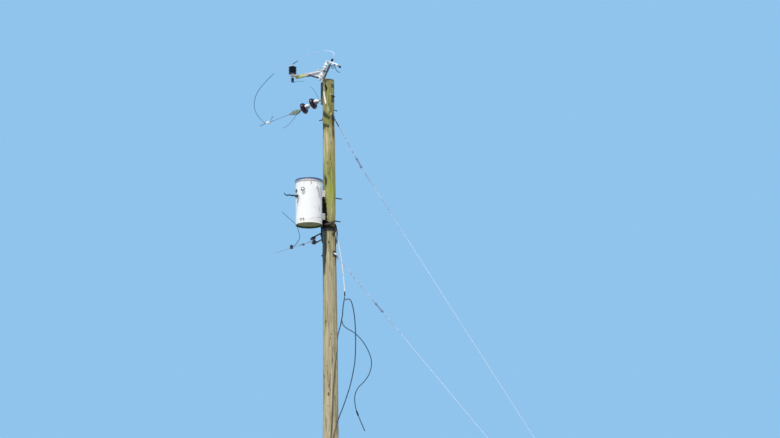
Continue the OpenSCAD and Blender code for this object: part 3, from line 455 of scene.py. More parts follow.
def patches_group():
    """Cloudy patches: noise at a size, cut to a share of the surface; Where is the place, in metres."""
    inputs = {"Where": None, "Size": 0.1, "Share": 0.5, "Soft": 0.1}
    tree, given, out = group("cloudy patches", inputs, {"Mask": "Float"})
    cloud = noise(tree, given["Where"], maths(tree, "DIVIDE", 1.0, given["Size"]), 6.0, 0.62)
    edge = maths(tree, "SUBTRACT", 1.0, given["Share"])
    edge = node(tree, "MapRange", {"Value": edge, "To Min": 0.3, "To Max": 0.7}).outputs[0]
    low = maths(tree, "SUBTRACT", edge, given["Soft"])
    high = maths(tree, "ADD", edge, given["Soft"])
    tree.links.new(window(tree, cloud, low, high), out["Mask"])
    return tree


def streaks_group():
    """Rain streaks: noise squeezed along z, cut to a share."""
    inputs = {"Where": None, "Width": 0.02, "Long": 12.0, "Share": 0.4}
    tree, given, out = group("rain streaks", inputs, {"Mask": "Float"})
    across = maths(tree, "DIVIDE", 1.0, given["Width"])
    down = maths(tree, "DIVIDE", across, given["Long"])
    scale = node(tree, "CombineXYZ", {0: across, 1: across, 2: down}).outputs[0]
    run = noise(tree, vectors(tree, "MULTIPLY", given["Where"], scale), 1.0, 4.0, 0.6)
    edge = maths(tree, "SUBTRACT", 0.72, maths(tree, "MULTIPLY", given["Share"], 0.4))
    tree.links.new(window(tree, run, edge, maths(tree, "ADD", edge, 0.16)), out["Mask"])
    return tree


def grit_group():
    """Fine grit: two sizes of noise added, as a height and as a mask of its pits."""
    inputs = {"Where": None, "Size": 0.004}
    tree, given, out = group("fine grit", inputs, {"Height": "Float", "Pits": "Float"})
    scale = maths(tree, "DIVIDE", 1.0, given["Size"])
    fine = noise(tree, given["Where"], scale, 3.0)
    coarse = noise(tree, given["Where"], maths(tree, "MULTIPLY", scale, 0.21))
    height = maths(tree, "ADD", fine, maths(tree, "MULTIPLY", coarse, 1.6))
    tree.links.new(height, out["Height"])
    tree.links.new(window(tree, height, 1.1, 0.85), out["Pits"])
    return tree


def rust_group():
    """Rust: a colour between dark brown and orange, and a mask of patches with fine broken edges."""
    inputs = {"Where": None, "Share": 0.3, "Size": 0.05}
    tree, given, out = group("rust", inputs, {"Colour": "Color", "Mask": "Float"})
    patch = effect(tree, PATCHES, given["Where"], Size=given["Size"], Share=given["Share"], Soft=0.035)[0]
    fine = noise(tree, given["Where"], 160.0, 5.0)
    tree.links.new(mix(tree, window(tree, fine, 0.38, 0.62), "#38281e", "#75503a"), out["Colour"])
    tree.links.new(maths(tree, "MULTIPLY", patch, window(tree, fine, 0.3, 0.5, 0.55, 1.0)), out["Mask"])
    return tree


def stroke_group():
    """A soft stroke: 1 on the line that starts at From and runs Along, 0 at its width."""
    inputs = {"Where": None, "From": None, "Along": None, "Wide": 0.01}
    tree, given, out = group("soft stroke", inputs, {"Mask": "Float"})
    reach = vectors(tree, "SUBTRACT", given["Where"], given["From"])
    share = vectors(tree, "DOT_PRODUCT", reach, given["Along"], "Value")
    whole = vectors(tree, "DOT_PRODUCT", given["Along"], given["Along"], "Value")
    share = maths(tree, "DIVIDE", share, whole, True)
    nearest = node(tree, "VectorMath", {0: given["Along"], "Scale": share}, operation="SCALE").outputs[0]
    gap = vectors(tree, "DISTANCE", reach, nearest, "Value")
    tree.links.new(window(tree, maths(tree, "DIVIDE", gap, given["Wide"]), 1.0, 0.35), out["Mask"])
    return tree


PATCHES = patches_group()
STROKE = stroke_group()
STREAKS = streaks_group()
GRIT = grit_group()
RUST = rust_group()


def finish(name, rough=0.5, metallic=0.0, coat=0.0, specular=0.5):
    """A material with its shader; gives the material, its tree, the shader and the object's coordinates."""
    made = bpy.data.materials.new(name)
    made.use_nodes = True
    tree = made.node_tree
    shader = tree.nodes["Principled BSDF"]
    for socket, value in {"Roughness": rough, "Metallic": metallic, "Coat Weight": coat,
                          "Specular IOR Level": specular, "Coat Roughness": 0.12}.items():
        shader.inputs[socket].default_value = value
    where = node(tree, "TexCoord").outputs["Object"]
    return made, tree, shader, where


def lift(tree, shader, height, depth):
    """A bump of a depth in metres on the shader's normal."""
    bump = node(tree, "Bump", {"Height": height, "Distance": depth, "Strength": 1.0})
    tree.links.new(bump.outputs[0], shader.inputs["Normal"])


def weathered(name, base, patch, streak=None, size=0.06, share=0.45, streak_share=0.35, width=0.012,
              rust=0.0, rough=(0.45, 0.7), metallic=0.0, coat=0.0, grit=0.0025, depth=0.0003, specular=0.5,
              patch_amount=0.75, spangle=0.0, underside_shade=None, zones=()):
    """A worn finish: patches of a second colour, streaks of a third, rust, and grit that acts on colour and
    bump. Faces that look down take a darker colour, painted shade on their undersides. A zone is
    (direction, from, to, colour, amount): its colour grows between two distances along the direction."""
    made, tree, shader, where = finish(name, metallic=metallic, coat=coat, specular=specular)
    cloud = effect(tree, PATCHES, where, Size=size, Share=share, Soft=0.12)[0]
    grain = effect(tree, GRIT, where, Size=grit)
    colour = mix(tree, maths(tree, "MULTIPLY", cloud, patch_amount), base, patch)
    if spangle:
        cells = node(tree, "TexVoronoi", {"Vector": where, "Scale": 90.0}).outputs["Color"]
        tone = node(tree, "SeparateColor", {0: cells}).outputs[0]
        colour = mix(tree, maths(tree, "MULTIPLY", tone, spangle), colour, "#c3c9cc")
    for direction, low, high, text, amount in zones:
        reach = vectors(tree, "DOT_PRODUCT", where, tuple(direction), "Value")
        colour = mix(tree, window(tree, reach, low, high, 0.0, amount), colour, text)
    # Painted shade: faces that look down are darkened
    if underside_shade:
        down = node(tree, "SeparateXYZ", {0: node(tree, "NewGeometry").outputs["Normal"]}).outputs[2]
        colour = mix(tree, window(tree, down, 0.1, -0.35, 0.0, 0.85), colour, underside_shade)
    if streak:
        run = effect(tree, STREAKS, where, Width=width, Share=streak_share)[0]
        colour = mix(tree, maths(tree, "MULTIPLY", run, 0.7), colour, streak)
    colour = mix(tree, maths(tree, "MULTIPLY", grain["Pits"], 0.35), colour, patch)
    dull = window(tree, cloud, 0.0, 1.0, *rough)
    if rust:
        bloom = effect(tree, RUST, where, Share=rust, Size=0.03)
        colour = mix(tree, bloom["Mask"], colour, bloom["Colour"])
        dull = maths(tree, "MAXIMUM", dull, maths(tree, "MULTIPLY", bloom["Mask"], 0.9))
        if metallic:
            bare = window(tree, bloom["Mask"], 0.0, 1.0, metallic, 0.0)
            tree.links.new(bare, shader.inputs["Metallic"])
    tree.links.new(colour, shader.inputs["Base Color"])
    tree.links.new(dull, shader.inputs["Roughness"])
    lift(tree, shader, grain["Height"], depth)
    return made


# The pole's ground colour by height in metres, and its marks: (attribute, colour, amount)
WOOD_TONES = [
    (0.0, "#9b9479"), (1.2, "#aea588"), (3.4, "#b8ae90"), (4.6, "#b3a98b"), (5.7, "#aca283"),
    (6.25, "#9d9674"), (6.62, "#a6a06e"), (7.05, "#9aa059"), (7.35, "#989a5c"), (7.62, "#a8a26e"),
    (7.95, "#b3a97c"), (8.15, "#86834f"), (8.45, "#989461"), (8.84, "#8f8d5c")]
WOOD_RAMP_TOP = 9.0
WOOD_MARKS = [
    # The dark olive mark also paints the tank's shadow on the pole
    ("stain", "#34351f", 0.92), ("bright", "#9aa636", 0.8), ("pale", "#cfc39c", 0.8),
    # The blue-grey and near-black marks are painted shade
    ("dusk", "#4a5c66", 0.95), ("char", "#100f0b", 1.0), ("chalk", "#fbf3ea", 1.0)]


def wood_ground(tree, where, z):
    """The wood's colour by height, with its edges swayed by noise."""
    sway = maths(tree, "SUBTRACT", noise(tree, where, 2.2, 4.0), 0.5)
    height = maths(tree, "ADD", z, maths(tree, "MULTIPLY", sway, 0.45))
    ramp = node(tree, "ValToRGB", {0: maths(tree, "DIVIDE", height, WOOD_RAMP_TOP)})
    while len(ramp.color_ramp.elements) < len(WOOD_TONES):
        ramp.color_ramp.elements.new(0.5)
    for element, (at, text) in zip(ramp.color_ramp.elements, WOOD_TONES):
        element.position = at / WOOD_RAMP_TOP
        element.color = rgb(text)
    return ramp.outputs[0]


def wood_finish():
    """Treated pine: tan below and green above, long grain, stains, knots and painted shade, rings on the
    sawn end.
    """
    made, tree, shader, where = finish("treated pine", rough=0.85, specular=0.25)
    z = node(tree, "SeparateXYZ", {0: where}).outputs[2]
    colour = wood_ground(tree, where, z)
    fibres = []
    for width, long in ((0.006, 30.0), (0.022, 26.0), (0.05, 9.0)):
        squeezed = vectors(tree, "MULTIPLY", where, (1 / width, 1 / width, 1 / width / long))
        fibres.append(noise(tree, squeezed, 1.0, 5.0, 0.6, 0.3))
    fine, middle, broad = fibres
    colour = mix(tree, window(tree, fine, 0.45, 0.68, 0.0, 0.55), colour, "#6f6544")
    colour = mix(tree, window(tree, middle, 0.52, 0.66, 0.0, 0.6), colour, "#d3c9a4")
    colour = mix(tree, window(tree, middle, 0.46, 0.3, 0.0, 0.65), colour, "#6a6340")
    moss = maths(tree, "MULTIPLY", window(tree, z, 6.4, 7.2), window(tree, broad, 0.48, 0.6))
    colour = mix(tree, maths(tree, "MULTIPLY", moss, 0.55), colour, "#7c8436")
    gullies = vectors(tree, "MULTIPLY", where, (34.0, 34.0, 1.1))
    sockets = {"Vector": gullies, "Scale": 1.0}
    split = node(tree, "TexVoronoi", sockets, feature="DISTANCE_TO_EDGE").outputs[0]
    crack = maths(tree, "MULTIPLY", window(tree, split, 0.045, 0.012), window(tree, broad, 0.5, 0.58))
    colour = mix(tree, maths(tree, "MULTIPLY", crack, 0.8), colour, "#35301f")
    for mark, text, amount in WOOD_MARKS:
        value = node(tree, "Attribute", attribute_name=mark, attribute_type="GEOMETRY").outputs["Fac"]
        broken = maths(tree, "MULTIPLY", value, window(tree, middle, 0.25, 0.5, 0.55, 1.0))
        broken = maths(tree, "MULTIPLY", window(tree, broken, 0.1, 0.8), amount, True)
        colour = mix(tree, broken, colour, text)
    rings = node(tree, "TexWave", {"Vector": where, "Scale": 52.0, "Distortion": 1.6, "Detail": 3.0},
                 wave_type="RINGS", rings_direction="Z").outputs["Fac"]
    facing = node(tree, "SeparateXYZ", {0: node(tree, "NewGeometry").outputs["True Normal"]}).outputs[2]
    sawn = mix(tree, rings, "#7d7550", "#b1a67c")
    colour = mix(tree, window(tree, facing, 0.6, 0.85), colour, sawn)
    tree.links.new(colour, shader.inputs["Base Color"])
    tree.links.new(window(tree, middle, 0.3, 0.7, 0.92, 0.74), shader.inputs["Roughness"])
    relief = maths(tree, "ADD", maths(tree, "MULTIPLY", fine, 0.8), maths(tree, "MULTIPLY", middle, 1.2))
    lift(tree, shader, maths(tree, "SUBTRACT", relief, maths(tree, "MULTIPLY", crack, 1.5)), 0.0022)
    return made


# A stroke on the tank's wall is (angle, height) at its start and end, width in mm, colour and amount
# The two wide lavender-grey strokes at 120 and 136 degrees are painted shade down the tank's right side
WALL_MARKS = [
    (70.4, 7.165, 71.0, 7.126, 8, "#8b858c", 0.85), (94.0, 7.110, 107.0, 7.066, 10, "#8a8092", 0.8),
    (107.0, 7.066, 110.5, 6.945, 13, "#a39aac", 0.75), (120.0, 7.080, 121.0, 6.930, 34, "#c9c0d2", 0.6),
    (84.0, 6.778, 88.0, 6.775, 6, "#aaa5ad", 0.7), (108.0, 6.805, 112.0, 6.735, 14, "#a39da9", 0.65),
    (12.5, 6.945, 7.8, 6.872, 7, "#8f9c8e", 0.8), (38.2, 6.612, 38.2, 6.556, 6, "#ab9f8f", 0.6),
    (20.9, 6.612, 20.9, 6.585, 9, "#c6b2b6", 0.6), (72.0, 6.620, 104.0, 6.636, 5, "#b5adb9", 0.7),
    (100.0, 6.638, 132.0, 6.648, 9, "#a59dab", 0.7), (-12.0, 7.03, -12.5, 6.93, 10, "#b8c4c0", 0.5),
    (36.0, 7.00, 36.0, 6.955, 12, "#d9d3cc", 0.6), (136.0, 7.10, 137.0, 6.60, 40, "#c3bacb", 0.6)]


def wall_strokes(tree, where, around, z, colour):
    """Chips, scrapes and painted shade: soft strokes on the wall unrolled flat, with ragged edges."""
    ragged = node(tree, "TexNoise", {"Vector": where, "Scale": 70.0, "Detail": 4.0}).outputs["Color"]
    flat = node(tree, "CombineXYZ", {0: around, 1: z}).outputs[0]
    sockets = {0: ragged, 1: (0.02, 0.02, 0.0), 2: flat}
    wall = node(tree, "VectorMath", sockets, operation="MULTIPLY_ADD").outputs[0]
    for a, at, a_end, at_end, wide, text, amount in WALL_MARKS:
        start = np.array((TANK_R * np.radians(a) + 0.01, at + 0.01, 0.0))
        end = np.array((TANK_R * np.radians(a_end) + 0.01, at_end + 0.01, 0.0))
        line = {"From": tuple(start), "Along": tuple(end - start), "Wide": wide * MM}
        stroke = effect(tree, STROKE, wall, **line)[0]
        colour = mix(tree, maths(tree, "MULTIPLY", stroke, amount), colour, text)
    return colour


def tank_finish():
    """White tank enamel: chalky patches, grime below the lid and at the seam, dark runs below the fittings,
    chips, scrapes and painted shade at their places on the wall, and the inside painted dark as shade."""
    made, tree, shader, where = finish("white tank enamel", rough=0.4, coat=0.15)
    x, y, z = node(tree, "SeparateXYZ", {0: where}).outputs
    cloud = effect(tree, PATCHES, where, Size=0.11, Share=0.42, Soft=0.1)[0]
    run = effect(tree, STREAKS, where, Width=0.013, Share=0.42, Long=14.0)[0]
    grain = effect(tree, GRIT, where, Size=0.0035)
    colour = mix(tree, maths(tree, "MULTIPLY", cloud, 0.4), "#f7f6f5", "#e9e9ec")
    under_lid = window(tree, z, 7.09, 7.18)
    low = window(tree, z, 6.625, 6.6)
    grime = maths(tree, "MULTIPLY", low, 0.3)
    soiled = maths(tree, "MAXIMUM", maths(tree, "MULTIPLY", under_lid, 0.5), grime)
    colour = mix(tree, grime, colour, "#ebe3d6")
    colour = mix(tree, maths(tree, "MULTIPLY", run, maths(tree, "ADD", soiled, 0.08)), colour, "#8e8578")
    back = maths(tree, "SUBTRACT", TANK_Y, y)
    around = maths(tree, "MULTIPLY", maths(tree, "ARCTAN2", x, back), TANK_R)
    colour = wall_strokes(tree, where, around, z, colour)
    bloom = effect(tree, RUST, where, Share=0.08, Size=0.035)
    chipped = maths(tree, "MULTIPLY", bloom["Mask"], maths(tree, "ADD", soiled, 0.12))
    colour = mix(tree, chipped, colour, bloom["Colour"])
    # The rolled lower edge's underside is painted dark brown: dirt, and painted shade beneath the edge
    colour = mix(tree, window(tree, z, 6.5545, 6.5525), colour, "#5d5342")
    # The inside of the skirt is painted dark green: painted shade in the recess beneath the tank
    off = maths(tree, "ADD", maths(tree, "POWER", x, 2.0), maths(tree, "POWER", back, 2.0))
    inside = maths(tree, "LESS_THAN", maths(tree, "SQRT", off), TANK_R - 0.0015)
    colour = mix(tree, inside, colour, mix(tree, cloud, "#2c3a26", "#3a4630"))
    tree.links.new(colour, shader.inputs["Base Color"])
    tree.links.new(window(tree, cloud, 0.0, 1.0, 0.34, 0.55), shader.inputs["Roughness"])
    lift(tree, shader, grain["Height"], 0.00025)
    return made


def strand_finish(name, base, dark, metallic, size=0.09, amount=0.55, zones=()):
    """Stranded wire: bright wires, dull grooves and patches of dust along it."""
    return weathered(name, base, dark, size=size, share=0.5, patch_amount=amount, rough=(0.5, 0.7),
                     metallic=metallic, grit=0.0015, depth=0.0001, zones=zones)


WOOD = wood_finish()
ENAMEL = tank_finish()

# Directions that the zones of colour run along: the line's way and its opposite, the picture's right, the
# insulator string, the front bushing's way, and the way across the bracket's brace, which rises 0.406 m for
# each metre of the line's way
ALONG = ON_LINE[:3, 0]
BACK = -ALONG
SCREEN = (np.cos(VIEW_HEADING), np.sin(VIEW_HEADING), 0.0)
STRING = on_string(0.0)[:3, 0]
FRONT = on_tank(*FRONT_BUSHING)[:3, 0]
BRACE = UP - 0.406 * ALONG
EYE_ON_STRING = (ON_LINE[:3, :3] @ EYE) @ STRING
FRONT_WALL = TANK_R + TANK_Y * FRONT[1]

# The finish of each slot
# An underside colour in a finish is painted shade on the faces that look down
FINISHES = {
    "treated_wood": WOOD,
    "tank_paint": ENAMEL,
    "lid_paint": weathered(
        "blue-grey lid enamel", "#3f5a82", "#34496a", "#6d819e", size=0.09, share=0.4, rust=0.06,
        rough=(0.4, 0.6), width=0.02),
    "tank_underside": weathered(
        "mossy tank floor", "#62673f", "#4b5038", "#77714f", size=0.07, share=0.5, rust=0.15,
        rough=(0.75, 0.9), depth=0.0006),
    # Its two zones across the picture are painted shade: grey-blue on the band's right part and at its left
    # end
    "band_paint": weathered(
        "grey-pink band enamel", "#dcd3d4", "#c4babe", "#96909a", size=0.03, share=0.4, streak_share=0.4,
        rust=0.08, rough=(0.4, 0.65), underside_shade="#8b8388", zones=(
            (SCREEN, -0.22, -0.13, "#8793a8", 0.8), (SCREEN, -0.36, -0.43, "#7c90ad", 0.7))),
    "bare_steel": weathered(
        "bare port steel", "#8b867c", "#5f5a52", "#4a443d", size=0.02, rust=0.25, metallic=0.5,
        rough=(0.45, 0.7)),
    # The lower hanger, below 6.755 m, is painted greyer: painted shade
    "hanger_paint": weathered(
        "white hanger enamel", "#fffdee", "#efebd6", "#b5b09a", size=0.04, share=0.35, rust=0.08,
        rough=(0.4, 0.62), zones=((UP, 6.76, 6.755, "#d6d5cb", 0.8),)),
    "rusty_steel": weathered(
        "rusty bolt steel", "#4d4740", "#352f2a", size=0.02, rust=0.3, metallic=0.5, rough=(0.55, 0.8),
        depth=0.0005),
    "white_porcelain": weathered(
        "white glaze", "#fafcfb", "#e8ecee", "#b5b2aa", size=0.05, share=0.3, streak_share=0.15,
        coat=0.3, rough=(0.25, 0.4), depth=0.00008, underside_shade="#c6cdd2"),
    "dull_brass": weathered(
        "dull brass", "#7d6f55", "#4c463c", size=0.015, metallic=0.7, rough=(0.4, 0.65)),
    "grey_porcelain": weathered(
        "grey glaze", "#5b656e", "#4a525a", "#5c5f63", size=0.05, share=0.4, coat=0.6, streak_share=0.2,
        rough=(0.12, 0.3), depth=0.00008),
    "galvanised_steel": weathered(
        "galvanised steel", "#ccd2d8", "#a9b1b8", "#878d92", size=0.035, share=0.4, rust=0.06,
        metallic=0.15, rough=(0.55, 0.75), spangle=0.25, specular=0.3, underside_shade="#3c4c52"),
    "weathered_composite": weathered(
        "weathered composite bar", "#c6cb8a", "#a9b673", "#dcdcb8", size=0.05, rough=(0.65, 0.85),
        width=0.006, streak_share=0.2, underside_shade="#6d7344", zones=(
            (ALONG, 0.50, 0.535, "#5c4a30", 0.85), (ALONG, 0.43, 0.39, "#d9d3dd", 0.85))),
    "dark_polymer": weathered(
        "dark polymer sheds", "#151c28", "#1f2a38", "#3a434e", size=0.04, share=0.35, streak_share=0.15,
        rough=(0.45, 0.65), specular=0.3),
    "fibre_tube": weathered(
        "fibre fuse tube", "#554b4a", "#3a3234", "#776d6a", size=0.04, rough=(0.45, 0.65)),
    "bare_wire": strand_finish(
        "bare aluminium wire", "#b6cdf0", "#97b2d8", 0.1,
        zones=((UP, 8.5, 8.45, "#7288a8", 0.9), (ALONG, 0.97, 1.03, "#3f5c78", 1.0))),
    "clamp_aluminium": weathered(
        "cast clamp aluminium", "#9fa898", "#6b7770", "#4b5a5c", size=0.03, share=0.5, metallic=0.3,
        rough=(0.45, 0.68), grit=0.003, depth=0.0004, underside_shade="#37474b"),
    "brown_porcelain": weathered(
        "brown glaze", "#2a0f1a", "#16142a", "#33202a", size=0.05, share=0.45, streak_share=0.1,
        coat=0.12, rough=(0.3, 0.5), depth=0.00006, specular=0.3),
    "dark_steel": weathered(
        "dark band steel", "#24272b", "#3b3a36", size=0.03, rust=0.15, metallic=0.3, rough=(0.5, 0.75),
        depth=0.0004),
    "dark_porcelain": weathered(
        "dark spool glaze", "#0e1222", "#1a2134", size=0.03, share=0.3, coat=0.6, rough=(0.16, 0.34),
        depth=0.00006, specular=0.35),
    "old_copper": weathered(
        "weathered copper wire", "#4c6c8a", "#3d566e", size=0.09, share=0.5, patch_amount=0.55,
        rough=(0.6, 0.8), metallic=0.1, grit=0.0015, depth=0.0001,
        zones=((UP, 6.925, 6.93, "#1d3c46", 1.0), (UP, 8.0, 8.1, "#55788f", 1.0))),
    "dark_insulator": weathered(
        "grey guy insulator", "#5f6b82", "#465268", "#8d8da2", size=0.03, coat=0.3, rough=(0.35, 0.6)),
    # Farther out along the guys the strand turns pale sky blue: a painted reflection of the sky
    "galvanised_strand": strand_finish(
        "galvanised guy strand", "#b3bfd6", "#6c788c", 0.2, size=0.045, amount=0.8,
        zones=((BACK, 0.9, 1.4, "#b4cbe6", 0.85),)),
    "black_insulation": weathered(
        "black cable sheath", "#2f4258", "#41576f", "#55697f", size=0.05, share=0.45, rough=(0.42, 0.62),
        width=0.004, grit=0.002, depth=0.00012, specular=0.4,
        zones=((SCREEN, 0.108, 0.09, "#66583a", 1.0),)),
    "pale_insulation": weathered(
        "pale lead sheath", "#f2f4f8", "#dde2ea", "#b4bcc6", size=0.05, share=0.4, streak_share=0.15,
        rough=(0.4, 0.6), grit=0.002, depth=0.0001),
}

# The finishes of nodes and pieces that differ from their slot's
# An underside colour in a finish is painted shade on the faces that look down
NODE_FINISHES = {
    # Painted shade: below the brace's plane and below 8.81 m the bracket turns dark teal and navy, on the
    # brace and the channel
    "top_bracket": weathered(
        "bracket steel", "#e4e6ee", "#c3ccd4", "#a2abb0", size=0.05, share=0.45, rust=0.05,
        rough=(0.7, 0.85), spangle=0.2, specular=0.12, underside_shade="#20393e", zones=(
            (BRACE, 8.860, 8.856, "#1c3a40", 1.0), (ALONG, 0.335, 0.35, "#cfc3ca", 0.85),
            (ALONG, 0.168, 0.158, "#f2f5f8", 0.9), (UP, 8.83, 8.81, "#22304a", 0.95))),
    "bracket_bolts": weathered(
        "mossy bolt steel", "#5d5b3c", "#48462e", size=0.03, rust=0.2, rough=(0.7, 0.85), depth=0.0005,
        zones=((ALONG, 0.0, 0.03, "#3a444a", 0.9),)),
    # Painted shade: the nut end behind the pole is dark brown
    "eye_bolt": weathered(
        "eye bolt steel", "#9aa3a8", "#6f787c", size=0.03, rust=0.15, metallic=0.3, rough=(0.5, 0.75),
        zones=((BACK, 0.0, 0.05, "#35261f", 0.95),)),
    # Painted shade: the dark bands along the string make the pins beneath the discs near-black
    "disc_fittings": weathered(
        "zinc insulator caps", "#f0f2f6", "#d3d7dd", "#9da3a8", size=0.03, share=0.35, rough=(0.5, 0.7),
        specular=0.3, underside_shade="#2a2530", zones=tuple(
            (STRING, EYE_ON_STRING + at, EYE_ON_STRING + at + 0.004, text, 1.0)
            for at, text in ((0.118, "#1d1820"), (0.195, "#f0f2f6"), (0.29, "#1d1820")))),
    "cutout_top": weathered(
        "zinc hood", "#eceef6", "#cdd2dc", "#a3a8b0", size=0.03, share=0.3, rough=(0.5, 0.7),
        specular=0.3, underside_shade="#6d7c88"),
    "guy_bolts": weathered(
        "guy bolt steel", "#36444e", "#2b3238", size=0.02, rust=0.15, metallic=0.3, rough=(0.6, 0.8),
        depth=0.0004),
    "neutral_conductor": strand_finish(
        "dull neutral wire", "#b3c3e0", "#8d9dbb", 0.1, zones=(
            (ALONG, 0.425, 0.435, "#4d6874", 0.95), (ALONG, 0.475, 0.49, "#96a5be", 0.9))),
    "lead_wrap": weathered(
        "grimy black sheath", "#0c0d0c", "#181a17", "#2c2a22", size=0.04, share=0.45, rough=(0.7, 0.85),
        width=0.01, specular=0.08,
        zones=((SCREEN, 0.0, 0.09, "#3f3a2c", 0.8), (UP, 6.5, 6.4, "#3a4858", 0.8))),
    "guy_links": weathered(
        "guy link steel", "#45413a", "#33302b", size=0.03, rust=0.2, rough=(0.6, 0.8),
        zones=((BACK, 0.2, 0.22, "#6d84a8", 0.95),)),
    "hanger_bolts": weathered(
        "hanger bolt steel", "#3c3a36", "#2c2a28", size=0.02, rust=0.25, rough=(0.6, 0.8),
        zones=(((0.0, 1.0, 0.0), 0.09, 0.11, "#3c6276", 0.85),)),
    "tap_clamp": weathered(
        "bright tap clamp", "#eef1f5", "#cdd4dc", "#8a939c", size=0.02, share=0.35, rough=(0.5, 0.7),
        specular=0.3, underside_shade="#4a525a", zones=((UP, 8.405, 8.425, "#5f86ac", 0.9),)),
    "jumper_cover": weathered(
        "pale blue jumper cover", "#bbd8f6", "#a6c6ea", "#94b4d8", size=0.03, share=0.4,
        streak_share=0.2, rough=(0.45, 0.65), grit=0.002, depth=0.0001, specular=0.3),
    "ground_bosses": weathered(
        "worn boss steel", "#b8aaa0", "#8d8072", "#6f655a", size=0.015, rust=0.1, metallic=0.2,
        rough=(0.5, 0.7), specular=0.3),
    "lower_fitting": weathered(
        "pale zinc fitting", "#f3ece0", "#d9d2c8", "#a8a39b", size=0.02, share=0.35, rough=(0.5, 0.7),
        specular=0.3, underside_shade="#5a4d48"),
    "lv_bushing_right": weathered(
        "white bushing", "#fbfbf9", "#eeeeec", size=0.04, share=0.3, coat=0.2, rough=(0.3, 0.45)),
    "lv_bushing_front": weathered(
        "bushing glaze", "#c9cbc8", "#aeb1ae", "#8f9c8e", size=0.04, share=0.4, coat=0.3,
        rough=(0.25, 0.4), zones=((FRONT, FRONT_WALL + 0.012, FRONT_WALL + 0.026, "#16323c", 1.0),)),
    "arrester_fittings": weathered(
        "arrester base steel", "#e2dbdf", "#bfb6bb", "#8f8990", size=0.03, share=0.4, rough=(0.55, 0.75),
        specular=0.3, underside_shade="#4a4a52"),
}
SLOT_OF = {part["node"]: part["material_slot"] for part in frame["record"]["subparts"]}


def dress_nodes():
    """Each of the frame's nodes gets its own finish, or its slot's."""
    for name, solid in NODES.items():
        solid.data.materials.clear()
        solid.data.materials.append(NODE_FINISHES.get(name, FINISHES[SLOT_OF[name]]))


dress_nodes()


# Cords: routes in millimetres, in the part's own frame

LEAD_RUN = np.array([
    (83.5, 58.5, 6532), (76, 72, 6532), (68, 85.5, 6531), (63, 92, 6520), (61.5, 96, 6490),
    (63, 99, 6440), (70, 111, 6360), (86, 136, 6200), (98, 155, 6060), (108, 170, 5910),
    (116, 181, 5760), (121, 188, 5640), (124, 192, 5530)])
# In each lead's step to the next: degrees turned about the pole, and shares of a rise of 11.5 mm
LEAD_TURN = np.array((8, 8, 8, 8, 8, 8, 7, 6, 5, 4.5, 4.2, 4, 4))
LEAD_RISE = np.array((1, 1, 1, 0.9, 0.6, 0.3, 0, 0, 0, 0, 0, 0, 0))
LEAD_STEP = 11.5
SERVICE_RUN = [
    (128, 186, 5515), (118, 176, 5440), (110, 166, 5355), (104, 158, 5240), (88, 136, 5110),
    (72, 112, 5005), (66, 98, 4930), (74, 88, 4850), (90, 74, 4760), (104, 51, 4640), (114, 25, 4500),
    (118, 4, 4300), (118, -12, 4085), (117, -25, 3875), (115, -39, 3665), (112, -48, 3495),
    (108, -60, 3200), (107, -67, 2700), (109, -72, 2000), (112, -75, 1200), (115, -78, 500),
    (118, -79, 0)]
LOOP_RUN = [
    (129.6, 194.4, 5470), (141, 213, 5484), (162, 232, 5487), (190, 255, 5455), (212, 276, 5350),
    (232, 288, 5200), (248, 290, 5025), (258, 284, 4805), (260, 270, 4585), (252, 243, 4415),
    (234, 205, 4230), (210, 160, 4070), (182, 112, 3915), (150, 72, 3790), (130, 36, 3665),
    (124, 6, 3560), (121, -18, 3440), (119, -33, 3200), (120, -40, 2700), (123, -44, 2000),
    (127, -47, 1200), (130, -50, 500), (132, -52, 0)]
TAIL_RUN = [
    (110, 144, 5178), (134, 150, 5110), (180, 188, 5050), (270, 270, 4970), (350, 355, 4840),
    (405, 420, 4680), (430, 442, 4535), (416, 416, 4390), (378, 358, 4280), (322, 278, 4180),
    (297, 240, 4070), (300, 242, 3940), (312, 262, 3840), (340, 300, 3720), (375, 352, 3572)]


def sleeve(name, path, centre, length, radius, slot):
    """A pressed sleeve on a cord: a round profile along the path with rounded ends and three dents."""
    at = walked(path)
    stops = np.linspace(centre - length / 2, centre + length / 2, 41).clip(0.0, at[-1])
    run = np.stack([np.interp(stops, at, path[:, k]) for k in range(3)], -1)
    t = np.linspace(-1.0, 1.0, 41)
    rounded = 1.0 - 0.35 * np.abs(t) ** 12
    dented = 1.0 - 0.13 * np.exp(-(((1.5 * t + 0.5) % 1.0 - 0.5) / 0.17) ** 2)
    return make(name, [tube(run, rounds(radius * rounded * dented, 20), (1.0, -0.8, 0.05))], slot)


def cord(name, route, side, radius, replaces, slot, fitted=None):
    """A round cord along a smooth curve through its route, hiding the part it replaces.
    fitted is (name, distance from the far end, length, radius, slot) of a sleeve on it."""
    path = smooth_route(mm(route), 0.02)
    piece = make(name, [tube(path, circle(radius), side)], slot, replaces=[replaces])
    length = float(walked(path)[-1])
    if fitted:
        sleeve(fitted[0], path, length - fitted[1], *fitted[2:])


def lead_route(k):
    """A lead's route: the first one's, turned about the pole and raised by its number."""
    a = np.radians(k * LEAD_TURN)
    x, y, z = LEAD_RUN.T
    return np.stack([x * np.cos(a) - y * np.sin(a), x * np.sin(a) + y * np.cos(a),
                     z + k * LEAD_STEP * LEAD_RISE], -1)


